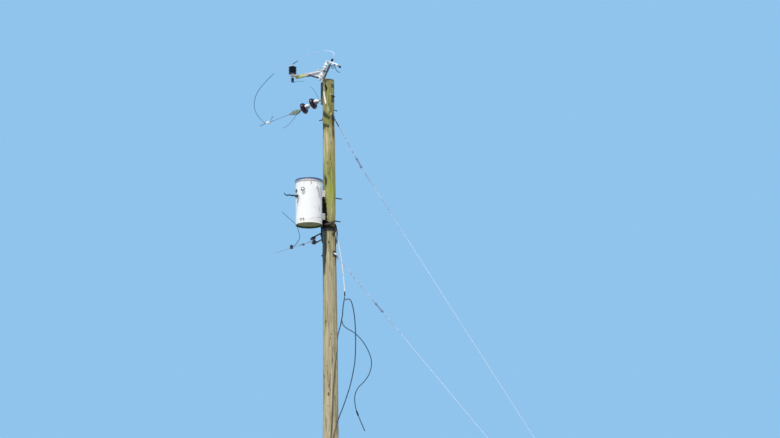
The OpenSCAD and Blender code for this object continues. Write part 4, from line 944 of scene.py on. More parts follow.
def hang_cords():
    """The three pale leads with their splices, the two cables down the pole and the cut tail."""
    for k in range(3):
        splice = ("splice_sleeve_%d" % (k + 1), 0.035, 0.07, 8.5 * MM, "dark_polymer")
        cord("service_lead_%d" % (k + 1), lead_route(k), (1.0, 0.3, 0.0), 5.5 * MM,
             "service_leads", "pale_insulation", splice)
    cord("service_cable_smooth", SERVICE_RUN, (1.0, -0.6, 0.05), 8 * MM, "service_cable",
         "black_insulation")
    cord("cable_loop_smooth", LOOP_RUN, (1.0, -0.9, 0.05), 8 * MM, "cable_loop",
         "black_insulation")
    connector = ("tail_connector", 0.27, 0.075, 12.0 * MM, "dark_polymer")
    cord("cable_tail_smooth", TAIL_RUN, (1.0, -0.9, 0.05), 7 * MM, "cable_tail", "black_insulation",
         connector)


hang_cords()


# The pole

# A flat is (azimuth, distance from the axis, middle height, half height)
FLATS = [
    *[(-90.0, HANGER_X, z, 0.0563) for z in HANGER_FLATS],
    *[(90.0, seat(z, WASHER_HALF), z, 0.0283) for z in (UPPER_HANGER, LOWER_HANGER)],
    (LINE_TURN, 0.078, 8.66, 0.188),
    *[(GUY_TURN, seat(z, WASHER_HALF), z, WASHER_HALF) for z in (8.732, 8.5, EYE[2])],
    *[(LINE_TURN, seat(z, WASHER_HALF), z, WASHER_HALF) for z in (UPPER_GUY, LOWER_GUY)],
    *[(GUY_TURN, seat(z, GUY_PLATE_HALF), z, GUY_PLATE_HALF) for z in (UPPER_GUY, LOWER_GUY)]]
# Waves die down at these (heights, reaches)
CALM = [
    (6.498, 0.12), (6.545, 0.08), (7.048, 0.08), (6.698, 0.08), (8.235, 0.06), (6.15, 0.06),
    (8.562, 0.1), (8.732, 0.05), (3.6, 0.05)]
# A check is (azimuth, from height, to height, width in mm, depth in mm)
CHECKS = [
    (-9.0, 0.3, 3.4, 5.0, 11.0), (-64.0, 4.2, 6.3, 4.0, 9.0), (22.0, 3.9, 5.9, 4.0, 8.0),
    (-31.0, 7.15, 8.0, 4.0, 8.0), (-48.0, 8.25, 8.9, 4.0, 9.0), (70.0, 0.6, 5.4, 6.0, 14.0),
    (118.0, 5.0, 8.3, 4.0, 9.0), (163.0, 1.4, 7.8, 6.0, 13.0), (232.0, 0.2, 4.6, 5.0, 11.0),
    (262.0, 2.9, 6.2, 4.0, 9.0), (12.0, 8.0, 8.9, 4.0, 10.0)]
# The columns beside a check lie half its width away from it at this radius
GROOVE_R = 0.1
# A mark is (azimuth, height, half width in degrees, half height in metres, strength); in the next list a
# mark that is lower than KNOT_TALL is a knot with a dip, and the four marks from (-63, 6.42) to (-81, 5.94)
# are painted shadow of the tank on the pole's left side; the others are stains and knots.
KNOT_TALL = 0.03
STAINS_AND_SHADOWS = [
    (-49.5, 8.683, 12, 0.03, 1.6), (-61, 8.732, 11, 0.026, 1.4), (-20, 8.828, 60, 0.008, 0.6),
    (19, 8.555, 11, 0.02, 1.3), (-84, 8.30, 13, 0.034, 2.2), (-65, 8.272, 12, 0.032, 2.2),
    (-47, 8.25, 12, 0.03, 1.8), (-27, 8.226, 12, 0.022, 1.6), (22, 8.19, 12, 0.12, 1.6),
    (-88, 8.10, 18, 0.04, 1.8), (-58, 8.105, 14, 0.024, 1.8), (-32, 8.09, 13, 0.02, 1.5),
    (20, 8.0, 11, 0.09, 1.1), (-56, 7.24, 10, 0.06, 1.7), (-66, 7.3, 9, 0.05, 1.0),
    (-4, 7.83, 12, 0.06, 0.5), (-67, 5.141, 18, 0.012, 0.6), (-13.4, 4.963, 5, 0.016, 0.8),
    (-21.6, 4.905, 5, 0.02, 0.7), (-49.9, 4.502, 6, 0.02, 0.7), (-23.3, 4.372, 5, 0.018, 0.8),
    (-35, 4.216, 7, 0.022, 0.9), (-39, 4.102, 5, 0.02, 0.8), (-43.1, 3.932, 7, 0.02, 0.7),
    (-25.9, 4.789, 4, 0.02, 0.6), (-29, 6.6, 22, 0.03, 1.2), (5, 6.6, 30, 0.012, 1.2),
    (-5, 6.52, 40, 0.012, 1.5), (14.3, 6.44, 12, 0.03, 1.4), (-30.4, 6.316, 6, 0.02, 1.4),
    (-24.5, 6.259, 3, 0.035, 1.3), (-21.6, 6.18, 2.4, 0.06, 1.2), (-21.8, 6.06, 2.4, 0.07, 1.0),
    (-23.9, 5.93, 2.4, 0.07, 0.9), (-63, 6.42, 13, 0.11, 2.4), (-63, 6.25, 12, 0.12, 2.4),
    (-70, 6.08, 11, 0.1, 2.2), (-81, 5.94, 10, 0.09, 1.8), (34, 6.35, 8, 0.16, 1.2),
    (36, 6.1, 8, 0.12, 1.0), (27, 6.16, 10, 0.012, 0.8), (38, 5.8, 7, 0.2, 0.7),
    (-40, 7.52, 16, 0.04, 0.5), (-8, 5.9, 6, 0.2, 0.4), (0, 8.5, 9, 0.05, 0.5), (-20, 5.6, 4, 0.15, 0.4),
    (60, 6.6, 30, 0.08, 0.7), (150, 6.5, 50, 0.06, 0.6), (120, 2.2, 8, 0.05, 0.7),
    (200, 4.4, 9, 0.05, 0.6), (250, 1.6, 8, 0.04, 0.7), (90, 7.6, 18, 0.12, 0.5),
    (180, 8.1, 20, 0.1, 0.5), (-60, 1.5, 7, 0.04, 0.7), (-15, 2.4, 6, 0.03, 0.7),
    (-35, 0.12, 90, 0.12, 0.5), (145, 0.12, 90, 0.12, 0.5), (-39, 4.102, 8, 0.032, 1.0),
    (-36, 4.22, 6, 0.04, 0.8), (-60, 5.155, 9, 0.03, 0.7)]
BRIGHT = [
    (-8, 7.107, 12, 0.16, 1.3), (-30, 6.9, 30, 0.12, 0.4), (-5, 7.5, 16, 0.3, 0.4),
    (-20, 8.6, 26, 0.16, 0.5), (-34, 8.16, 15, 0.03, 0.7), (-8, 7.35, 7, 0.1, 0.7),
    (0, 6.95, 8, 0.1, 0.6)]
PALE = [
    (-3, 8.597, 18, 0.008, 1.5), (-2, 8.285, 9, 0.018, 1.5), (-30, 8.36, 9, 0.05, 1.0),
    (-42, 7.9, 18, 0.12, 0.8), (-32, 6.42, 9, 0.1, 0.35), (-2, 6.3, 14, 0.14, 0.5),
    (-38, 6.1, 9, 0.14, 0.35), (-8, 6.0, 14, 0.2, 0.5), (-10, 5.6, 16, 0.3, 0.4),
    (-30, 3.2, 30, 0.7, 0.3), (-60, 7.05, 7, 0.07, 1.0), (-40, 7.75, 12, 0.1, 0.7),
    (-80, 8.74, 8, 0.07, 1.0), (-66, 8.64, 5, 0.03, 0.6)]
# Painted shade in blue-grey on the pole's left side: the tank's shadow below the tank, and the shaded left
# limb above and below it
LEFT_SIDE_SHADE = [
    (-98, 6.42, 24, 0.1, 3.0), (-98, 6.2, 23, 0.12, 3.0), (-103, 6.02, 17, 0.1, 2.6),
    (-108, 5.85, 12, 0.09, 2.2), (-112, 5.65, 10, 0.12, 1.4), (-112, 6.8, 22, 0.3, 0.6),
    (-114, 7.6, 11, 0.4, 0.6), (-114, 5.2, 10, 0.5, 0.6), (-92, 8.29, 18, 0.03, 0.8)]
# Painted shade in near-black: the shaded gap between the tank and the pole, the shade round the wound
# leads, and at 8.65 to 8.72 m a dark hole near the pole top, its inside shade painted in
DEEP_SHADE = [
    (-86, 6.955, 16, 0.028, 3.0), (-78, 6.88, 20, 0.04, 3.0), (-74, 6.81, 21, 0.05, 3.0),
    (-70, 6.74, 21, 0.05, 3.0), (-76, 6.66, 26, 0.04, 3.0), (-57, 6.61, 20, 0.024, 2.8),
    (-85, 6.58, 38, 0.03, 3.0), (-40, 6.585, 14, 0.016, 2.0), (-50, 8.686, 8, 0.026, 2.6),
    (-57, 8.722, 6, 0.016, 2.2), (-53, 8.652, 5, 0.018, 2.2)]
# A near-white strip on the wood, running down and to the right from below the bracket, and a fainter spot
# above it
CREAM_STRIP = [
    (-81, 8.632, 6, 0.02, 2.6), (-76, 8.593, 6.5, 0.024, 2.6), (-71, 8.555, 6.5, 0.024, 2.6),
    (-66, 8.522, 6.5, 0.024, 2.6), (-61, 8.49, 6.5, 0.022, 2.6), (-57, 8.465, 6, 0.014, 2.4),
    (-82, 8.70, 7, 0.03, 0.8)]
TRUNK_MARKS = {"stain": STAINS_AND_SHADOWS, "bright": BRIGHT, "pale": PALE, "dusk": LEFT_SIDE_SHADE, "char": DEEP_SHADE, "chalk": CREAM_STRIP}
# The bow is (height, lean to the right in mm, swelling to the right in mm)
BOW = np.array([
    (0.0, 0, 0), (0.8, 8, 0), (3.0, 12, 1), (5.6, 12, 2), (5.95, 9, 4), (6.12, 4, 7), (6.38, 4, 7),
    (6.46, 0, 0), (6.64, 0, 0), (6.8, 3, 5), (7.2, 6, 7), (8.0, 6, 6), (8.18, 3, 2), (8.3, 2, 2),
    (8.45, 2, 5), (8.84, 3, 6)])


def apart(u, degrees):
    """The signed angle from one azimuth to another, in radians."""
    return (u - np.radians(degrees) + np.pi) % (2.0 * np.pi) - np.pi


def spots(angle, z, places):
    """Soft round marks: each falls off with the angle and the height from its place."""
    total = np.zeros(np.broadcast(angle, z).shape)
    for azimuth, at, wide, tall, amount in places:
        reach = (apart(angle, azimuth) / np.radians(wide)) ** 2 + ((z - at) / tall) ** 2
        total = np.maximum(total, amount * np.exp(-reach))
    return total


def grain_turn(z):
    """How far the grain turns about the pole up to a height."""
    return np.radians(3.0 * np.sin(0.62 * z) + 1.4 * np.sin(1.9 * z + 1.0))


def wood_waves(u, z):
    """Shallow waves in millimetres: sines that run round the pole 2, 5, 11 and 23 times and lean with z."""
    return (1.1 * np.sin(2 * u + 1.3 * z) + 0.9 * np.sin(5 * u - 2.3 * z + 0.6)
            + 0.6 * np.sin(11 * u + 4.1 * z) + 0.45 * np.sin(23 * u - 1.7 * np.sin(2.6 * z)) - 1.6)


def trunk_surface(u, z):
    """The trunk's angle and radius. The grain carries u round the pole. The radius is the taper, with a
    slight bow and swelling to the right, shallow waves that calm down at the fittings, dips at the knots
    and grooves at the checks; the flats cut it."""
    angle = u + grain_turn(z)
    calm = np.min([np.clip(np.abs(z - at) / reach - 1.0, 0.0, 1.0) for at, reach in CALM], axis=0)
    lean, swell = (MM * np.interp(z, BOW[:, 0], BOW[:, k]) for k in (1, 2))
    right = apart(angle, 59.5)
    radius = pole_radius(z) + MM * wood_waves(u, z) * calm - 0.2 * MM
    radius = radius + lean * np.cos(right) + swell * np.exp(-(right / 0.9) ** 2)
    knots = spots(angle, z, [mark for mark in STAINS_AND_SHADOWS if mark[3] < KNOT_TALL]).clip(0.0, 1.0)
    radius = radius - 2.5 * MM * knots * calm
    for azimuth, low, high, wide, deep in CHECKS:
        half = 0.5 * wide * MM / pole_radius(z)
        along = np.clip((z - low) / 0.5, 0, 1) * np.clip((high - z) / 0.5, 0, 1)
        across = np.clip(1.0 - np.abs(apart(u, azimuth)) / half, 0.0, 1.0)
        open_by = across * along * (0.7 + 0.3 * np.sin(5 * z))
        radius = radius - deep * MM * np.clip(open_by, 0, 1) * np.maximum(calm, 0.15)
    for azimuth, reach, at, half in FLATS:
        facing = np.cos(angle - np.radians(azimuth))
        cut = np.where(facing > 0.1, (reach - 0.2 * MM) / np.maximum(facing, 0.1), 9.0)
        radius = np.where(np.abs(z - at) < half, np.minimum(radius, cut), radius)
    return angle, radius


def raise_trunk():
    """The pole: columns follow the grain, three of them at each check, and rows lie close on both sides of
    the flats' edges; rings shrunk to a point close both ends."""
    even = np.radians(np.linspace(-180.0, 180.0, 126, endpoint=False))
    for azimuth, _, _, wide, _ in CHECKS:
        even = even[np.abs(apart(even, azimuth)) > 1.6 * 0.5 * wide * MM / GROOVE_R]
    grooves = [np.radians(azimuth) + k * 0.5 * wide * MM / GROOVE_R
               for azimuth, _, _, wide, _ in CHECKS for k in (-1, 0, 1)]
    u = np.sort(np.concatenate([even, (np.array(grooves) + np.pi) % (2 * np.pi) - np.pi]))[None, :]
    edges = [at + s * (half + e) for _, _, at, half in FLATS for s in (-1, 1) for e in (-0.0002, 0.0002)]
    levels = np.concatenate([np.linspace(0.0, POLE_TOP, 560), edges])
    z = np.unique(levels.clip(0.0, POLE_TOP))[:, None]
    angle, radius = trunk_surface(u, z)
    side = np.stack([radius * np.cos(angle), radius * np.sin(angle), z + 0 * u], -1)
    share = np.array((0.985, 0.9, 0.72, 0.5, 0.28, 0.1, 0.0))[:, None]
    sawn = POLE_TOP - 0.001 * np.abs(np.sin(9 * share + 2 * u)) * (share < 0.95)
    top = np.stack([share * side[-1, :, 0], share * side[-1, :, 1], sawn], -1)
    grid = np.concatenate([side[:1] * (0, 0, 1), side, top])
    values = {}
    for mark, places in TRUNK_MARKS.items():
        mask = spots(angle, z, places)
        values[mark] = np.concatenate([mask[:1], mask, np.repeat(mask[-1:], len(share), 0)])
    make("trunk", [(grid, True)], "treated_wood", replaces=["pole"], marks=values, sharp=60.0)


raise_trunk()


# Bare wires: routes in millimetres, each in its own place

JUMPER_RUN = [
    (-184, 115, 9140), (-187, 113, 9180), (-170, 111, 9215), (-130, 108, 9242), (-80, 104, 9262),
    (10, 92, 9284), (110, 78, 9298), (220, 62, 9304), (335, 45, 9300), (445, 27, 9286), (545, 12, 9264),
    (610, 4, 9244), (651, 0, 9229), (700, 0, 9227), (770, 0, 9220), (850, 0, 9203), (985, 0, 9155),
    (1090, 0, 9095), (1180, 0, 9030), (1260, 0, 8965), (1325, 0, 8890), (1362, 0, 8810), (1375, 0, 8735),
    (1370, 0, 8660), (1345, 0, 8585), (1300, 0, 8515), (1245, 0, 8450), (1205, 0, 8408), (1184, 0, 8389),
    (1163.7, 0, 8379.4), (1140.4, 0, 8379.8)]
CLAMP_TAIL = [
    (84, 0, -47.4), (104, 0, -47.6), (122, 0, -60), (146, 0, -82), (183, 0, -107), (237, 0, -140),
    (280, 0, -160), (332, 0, -173), (385, 0, -177)]
NEUTRAL_LEAD = [
    (672, 0, 6356), (640, 0, 6358), (610, 0, 6368), (580, 0, 6391), (545, 0, 6431), (520, 0, 6471),
    (520, 0, 6511), (535, 0, 6566), (560, 0, 6636), (600, 0, 6701), (660, 0, 6756), (750, 0, 6836),
    (835, 0, 6914)]
ARRESTER_LEAD = [
    (652, 0, 8938), (640, 0, 8928), (610, 0, 8930), (570, 0, 8942), (535, 0, 8932), (500, 0, 8920),
    (452, 0, 8916)]
LOOSE_LEAD = [
    (300, 40, 8792), (262, 38, 8752), (228, 34, 8708), (200, 29, 8664), (180, 22, 8620), (162, 17, 8580),
    (148, 16.9, 8552)]
FRONT_LEAD = [
    (0, 0, 0), (14, 0, 0), (34, -8, -6), (60, -28, 4), (88, -50, 0), (108, -68, 8), (122, -80, 38)]
FRONT_LEAD_SIDE = (0.1, 0.1, 1.0)
DRIP_LEAD = [(0, 0, 0), (-8, 4, -14), (-24, 6, -30), (-38, 6, -52), (-42, 4, -76), (-40, 3, -98)]


def jumper_wire():
    """The jumper, from the cutout over the bracket and down to the line's tap clamp."""
    wire = strand(mm(JUMPER_RUN), 4.6 * MM, ACROSS, ON_LINE)
    make("jumper_wire", [wire], "bare_wire", replaces=["jumper"])


def line_wire():
    """The line's stub, from its clamp outwards, and its tail, cut and bent."""
    stub = straight(run_off(CLAMP_AT, LINE_DIP, 0.2293), run_off(CLAMP_AT, LINE_DIP, 0.789), 0.1)
    make("line_wire", [strand(stub, 5.1 * MM, ACROSS, ON_LINE, 7),
                       strand(mm(CLAMP_TAIL), 5.0 * MM, ACROSS, ON_CLAMP, 7)],
         "bare_wire", replaces=["line_conductor"])


def neutral_wire():
    """The neutral: its turn round the spool, its stub, and the connector on it with a wound end."""
    def off_spool(distance, aside=0.0):
        """A point at a distance from the spool and a little aside."""
        return run_off(SPOOL_AT, NEUTRAL_DIP, distance) + (0.0, aside, 0.0)

    groove = 0.0278
    turned = [off_spool(groove * np.cos(a), groove * np.sin(a)) for a in np.radians(np.arange(80, 281, 20))]
    loop = [off_spool(0.184, 0.0038), off_spool(0.09, 0.017), *turned, off_spool(0.09, -0.017),
            off_spool(0.184, -0.0038)]
    stub = straight(off_spool(0.18), off_spool(0.69), 0.1)
    slope = ON_LINE @ shift(*SPOOL_AT) @ turn("Y", NEUTRAL_DIP)
    body = rounded_rod(slope, straight((0.170, 0, -0.009), (0.202, 0, -0.009), 0.004), 0.011, 0.017, 0.004)
    winding = helix((0.205, 0, 0), (0.262, 0, 0), 0.0062, 0.0042, 0.0, 0.0006)
    parts = [strand(loop, 5.0 * MM, UP, ON_LINE, 7), strand(stub, 5.0 * MM, ACROSS, ON_LINE, 7), body,
             tube(put(winding, slope), circle(0.0016, 6), slope[:3, 1])]
    make("neutral_wire", parts, "bare_wire", NODE_FINISHES["neutral_conductor"],
         replaces=["neutral_conductor"])


def cut_lead_wires():
    """The leads cut in the air: the neutral's, the arrester's, a loose one and the front bushing's two."""
    on_drip = ON_FRONT_STUB @ shift(-0.014, 0.0, -0.0082)
    leads = [strand(mm(NEUTRAL_LEAD), 5.0 * MM, ACROSS, ON_LINE),
             strand(mm(ARRESTER_LEAD), 3.5 * MM, ACROSS, ON_LINE),
             strand(mm(LOOSE_LEAD), 3.5 * MM, ACROSS, ON_LINE),
             strand(mm(FRONT_LEAD), 6.5 * MM, FRONT_LEAD_SIDE, ON_FRONT_STUB),
             strand(mm(DRIP_LEAD), 3.2 * MM, ACROSS, on_drip)]
    make("cut_lead_wires", leads, "old_copper", replaces=["cut_leads"])


jumper_wire()
line_wire()
neutral_wire()
cut_lead_wires()


# Guys

ANCHOR = np.array((5.13, 0.0, 0.27))
STRAND_R = 0.0056
LOOP_R = 0.016
EYE_LOOP_R = 0.012
PULL = 0.0032
UPPER_SPAN, LOWER_SPAN = (UPPER_GUY, 0.0923, 0.052), (LOWER_GUY, 0.142, 0.0)


def guy_start(z, share, sag):
    """The eye of a guy's plate, and the middle of its insulator, at a share of the way and sagged."""
    plate = np.array((seat(z, GUY_PLATE_HALF) + 0.044, 0.0, z - 0.046))
    return plate, plate + share * (ANCHOR - plate) - (sag, 0.0, 0.0)


def ring(centre, radius, goal):
    """A loop in the guys' plane: a path round a centre, open by one step on the side of its goal."""
    u = unit((goal - centre) * (1.0, 0.0, 1.0))
    v = np.cross(ACROSS, u)
    angle = ring_angles(48)[:, None]
    path = centre + radius * (np.cos(angle) * u + np.sin(angle) * v)
    return tube(path, circle(0.0045), ACROSS, caps=False)


def guy(name, span, side, node_name):
    """A guy from its eye plate to the anchor: two loops, strands on both sides of the insulator, and
    the helical grips that close the loops."""
    plate, middle = guy_start(*span)
    near, far = toward(middle, plate, 0.095), toward(middle, plate, -0.095)
    eye = ANCHOR + (0.0, side * 0.0175, 0.0)
    held = toward(eye, far, 0.02)
    parts = [ring(toward(plate, near, LOOP_R + PULL), LOOP_R, near), ring(held, EYE_LOOP_R, far)]
    top, low = toward(plate, near, 2 * LOOP_R + PULL), toward(held, far, EYE_LOOP_R)
    for a, b in ((top, near), (far, low)):
        path = straight(a, b, 0.018)
        parts.append(tube(path, laid(path, STRAND_R), ACROSS))
    length = np.linalg.norm(near - top)
    grips = [(top, toward(top, near, min(0.62, 0.8 * length))),
             (near, toward(near, top, min(0.3, 0.35 * length))),
             (far, toward(far, held, 0.42)),
             (low, toward(low, far, 0.7))]
    for a, b in grips:
        for k in range(3):
            parts.append(tube(helix(a, b, 0.0062, 0.11, k * 0.36, 0.006), circle(0.0018, 6), ACROSS))
    surfaces = [(put(grid, ON_GUY), wrap) for grid, wrap in parts]
    make(name, surfaces, "galvanised_strand", replaces=[node_name])


guy("upper_guy_strand", UPPER_SPAN, -1, "upper_guy")
guy("lower_guy_strand", LOWER_SPAN, 1, "lower_guy")


# The tank's details

# The bottom seam's bead: (distance out of the wall, height)
SEAM_BEAD = [
    (-0.001, 6.6075), (0.0008, 6.608), (0.0019, 6.6098), (0.0023, 6.612), (0.0019, 6.6142), (0.0008, 6.616),
    (-0.001, 6.6165)]


def tank_welds():
    """The bottom seam's bead, the rolled lower edge, the wall's seam and the beads of the hangers."""
    def swelling(angle, row):
        """The bead swells and shrinks round the tank; its first and last rows stay in the wall."""
        return 0.0006 * np.sin(97 * angle) * ((row > 0) & (row < len(SEAM_BEAD) - 1))

    out, up = np.array(SEAM_BEAD).T
    bead = np.stack([TANK_R + out, up], -1)
    edge = [(TANK_R + 0.0015 + 0.0035 * np.cos(a), 6.5545 + 0.0042 * np.sin(a))
            for a in np.radians(np.linspace(-100, 100, 9))]
    roll = [(TANK_R - 0.003, 6.5502), *edge, (TANK_R - 0.001, 6.559)]
    parts = [revolve(bead, ON_AXIS, 300, swelling), revolve(roll, ON_AXIS, 120)]
    seam = straight((TANK_R + 0.0004, 0.0, 6.56), (TANK_R + 0.0004, 0.0, 7.17), 0.004)
    parts.append(tube(put(seam, ON_AXIS @ turn("Z", SEAM_TURN)),
                      rounds(lumpy(len(seam), 0.003, 0.0006, 1.9), 10), (0, 1, 0.2)))
    for z in (UPPER_HANGER, LOWER_HANGER):
        for y in (-0.0395, -0.0345, 0.0395, 0.0345):
            x = -TANK_Y - np.sqrt(TANK_R ** 2 - y ** 2) - 0.001
            path = straight((x, y, z - 0.015), (x, y, z + 0.083), 0.003)
            parts.append(tube(put(path, turn("Z", -90.0)),
                              rounds(lumpy(len(path), 0.0035, 0.0007, 2.1), 10), (1, 0, 0.1)))
    make("tank_welds", parts, "tank_paint")


def front_clamp_ring():
    """The front bushing's clamp ring with three lugs, and a screw on each."""
    place = on_tank(*FRONT_BUSHING) @ shift(TANK_R, 0.0, 0.0) @ turn("Y", 90.0)
    profile = [(0.0295, -0.006), (0.036, -0.006), (0.037, 0.002), (0.036, 0.0085), (0.033, 0.0115),
               (0.028, 0.0125), (0.0272, 0.0115), (0.0275, 0.009), (0.0302, 0.0085), (0.0302, -0.006)]

    def lugs(angle, row):
        """Three lugs on the outer rows: the fourth power of the cosine of three times the angle."""
        return 0.004 * np.clip(np.cos(3 * angle), 0, 1) ** 4 * ((row > 0) & (row < 5))

    head = hex_profile(0.0045, 0.005)
    screws = [revolve(head, place @ turn("Z", 120.0 * k) @ shift(0.0335, 0.0, 0.009), 6) for k in range(3)]
    make("bushing_clamp_ring", [revolve(profile, place, 72, lugs)], "tank_paint")
    make("clamp_ring_screws", screws, "band_paint", sharp=25.0)


def oval_ring(radius, height, wide, tall):
    """A ring's profile: an oval of 17 points, the last on the first."""
    a = np.radians(np.linspace(0.0, 360.0, 17))
    return np.stack([radius + wide * np.cos(a), height + tall * np.sin(a)], -1)


def right_bushing_parts():
    """The right bushing's gasket ring and its domed cap."""
    face = on_tank(*RIGHT_BUSHING) @ shift(TANK_R, 0.0, 0.0) @ turn("Y", 90.0)
    gasket = revolve(oval_ring(0.0258, 0.0255, 0.0055, 0.0032), face, 48)
    make("right_bushing_gasket", [gasket], "bare_steel")
    cap = [(0.0, 0.0385), (0.0055, 0.038), (0.0105, 0.0355), (0.014, 0.0315), (0.0155, 0.0285),
           (0.016, 0.0262), (0.0, 0.0262)]
    make("right_bushing_cap", [revolve(cap, face, 32)], "white_porcelain",
         NODE_FINISHES["lv_bushing_right"])


def lid_edge_bead():
    """The bead rolled round the lid's edge."""
    make("lid_edge_bead", [revolve(oval_ring(0.1985, 7.2155, 0.005, 0.0115), ON_AXIS, 160)], "lid_paint")


def front_lead_boot():
    """The boot over the start of the front bushing's lead: thick at the stud, thinner outwards."""
    path = put(smooth_route(mm(FRONT_LEAD[:6]), 0.004), ON_FRONT_STUB)
    radii = spread(len(path), (0.0, 0.05, 0.2, 0.9, 1.0), (10.0, 12.5, 11.0, 9.0, 7.6))
    make("front_lead_boot", [tube(path, rounds(radii, 16), FRONT_LEAD_SIDE)], "dark_polymer")


def bolt_threads():
    """Threads on the tails of the through bolts, and on the eye bolt's tail."""
    tails = [(UPPER_HANGER, 0.118, turn("Z", -90.0)), (LOWER_HANGER, 0.09, turn("Z", -90.0)),
             (EYE[2], 0.020, ON_LINE), (UPPER_GUY, 0.060, ON_GUY), (LOWER_GUY, 0.020, ON_GUY)]
    parts = []
    for z, tail, place in tails:
        nut = seat(z, WASHER_HALF) + NUT_FACE
        a, b = put([(-nut - 0.002, 0.0, z), (-nut - tail - 0.0002, 0.0, z)], place)
        parts.append(thread(a, b, 0.00805))
    make("bolt_threads", parts, "rusty_steel", sharp=50.0)


tank_welds()
front_clamp_ring()
right_bushing_parts()
lid_edge_bead()
front_lead_boot()
bolt_threads()


# The pole top's covers

HOOD_HOOK = [
    (-141, 26, 150), (-165, 26, 138), (-189, 26, 118), (-215, 26, 94), (-242, 26, 76), (-272, 26, 65),
    (-302, 26, 62), (-325, 26, 75)]


def hood_covers():
    """The white cover on the cutout's hood, with its knob and its hook."""
    path = straight((-0.093, 0, 0.1575), (-0.216, 0, 0.1575), 0.004)
    make("hood_cover", [rounded_rod(ON_CUTOUT, path, 0.021, 0.0145, 0.008)], "white_porcelain")
    neck = swept([(-208, 0, 150), (-240, 0, 145), (-256, 0, 143)], (9, 7, 6), ACROSS, ON_CUTOUT)
    make("hood_knob", [neck, ball((-0.254, 0.0, 0.143), 0.0185, ON_CUTOUT)], "dark_polymer")
    hook = swept(HOOD_HOOK, (3.5, 5, 5, 5, 4.5, 3), ACROSS, ON_CUTOUT)
    make("hood_hook", [hook], "galvanised_steel", NODE_FINISHES["guy_bolts"])


def terminal_boot():
    """The dark boot on the cutout's terminal."""
    profile = [(0.0, 0.176), (0.0135, 0.176), (0.0165, 0.18), (0.0165, 0.214), (0.013, 0.221), (0.0, 0.223)]
    make("terminal_boot", [revolve(profile, ON_CUTOUT @ shift(-0.068, 0.0, 0.0), 28)], "dark_polymer")


def jumper_covers():
    """The pale cover at the jumper's start and the tape over the bracket."""
    cover = swept(JUMPER_RUN[:6], (7, 9, 9, 8.5, 7.5, 6.5, 5), ACROSS, ON_LINE)
    make("jumper_cover", [cover], "pale_insulation", NODE_FINISHES["jumper_cover"])
    tape = swept(JUMPER_RUN[10:13], (5.4, 7, 7.5, 7), ACROSS, ON_LINE)
    make("jumper_tape", [tape], "dark_polymer", FINISHES["old_copper"])


def fuse_sleeve():
    """The sleeve on the fuse holder, with a collar below it; it moves with the holder."""
    profile = [(0.0, -0.098), (0.0135, -0.098), (0.0145, -0.09), (0.0142, 0.0), (0.0148, 0.006),
               (0.0162, 0.012), (0.0165, 0.018), (0.0165, 0.1), (0.0158, 0.108), (0.0135, 0.112),
               (0.0, 0.112)]
    make("fuse_sleeve", [revolve(profile, ON_CUTOUT @ shift(-0.064, 0.0, 0.0), 28)], "fibre_tube",
         body="fuse_holder")


def disconnector():
    """The arrester's disconnector, with a groove round its middle."""
    profile = [(0.0, 8.9405), (0.018, 8.9405), (0.0215, 8.945), (0.0215, 8.962), (0.0203, 8.965),
               (0.0203, 8.969), (0.0222, 8.973), (0.0222, 8.996), (0.0205, 9.0025), (0.0, 9.0025)]
    make("disconnector", [revolve(profile, ON_LINE @ shift(ARRESTER_X, 0.0, 0.0), 28)], "dark_polymer")


hood_covers()
terminal_boot()
jumper_covers()
fuse_sleeve()
disconnector()


# The leads wound round the pole, and what sits beside them

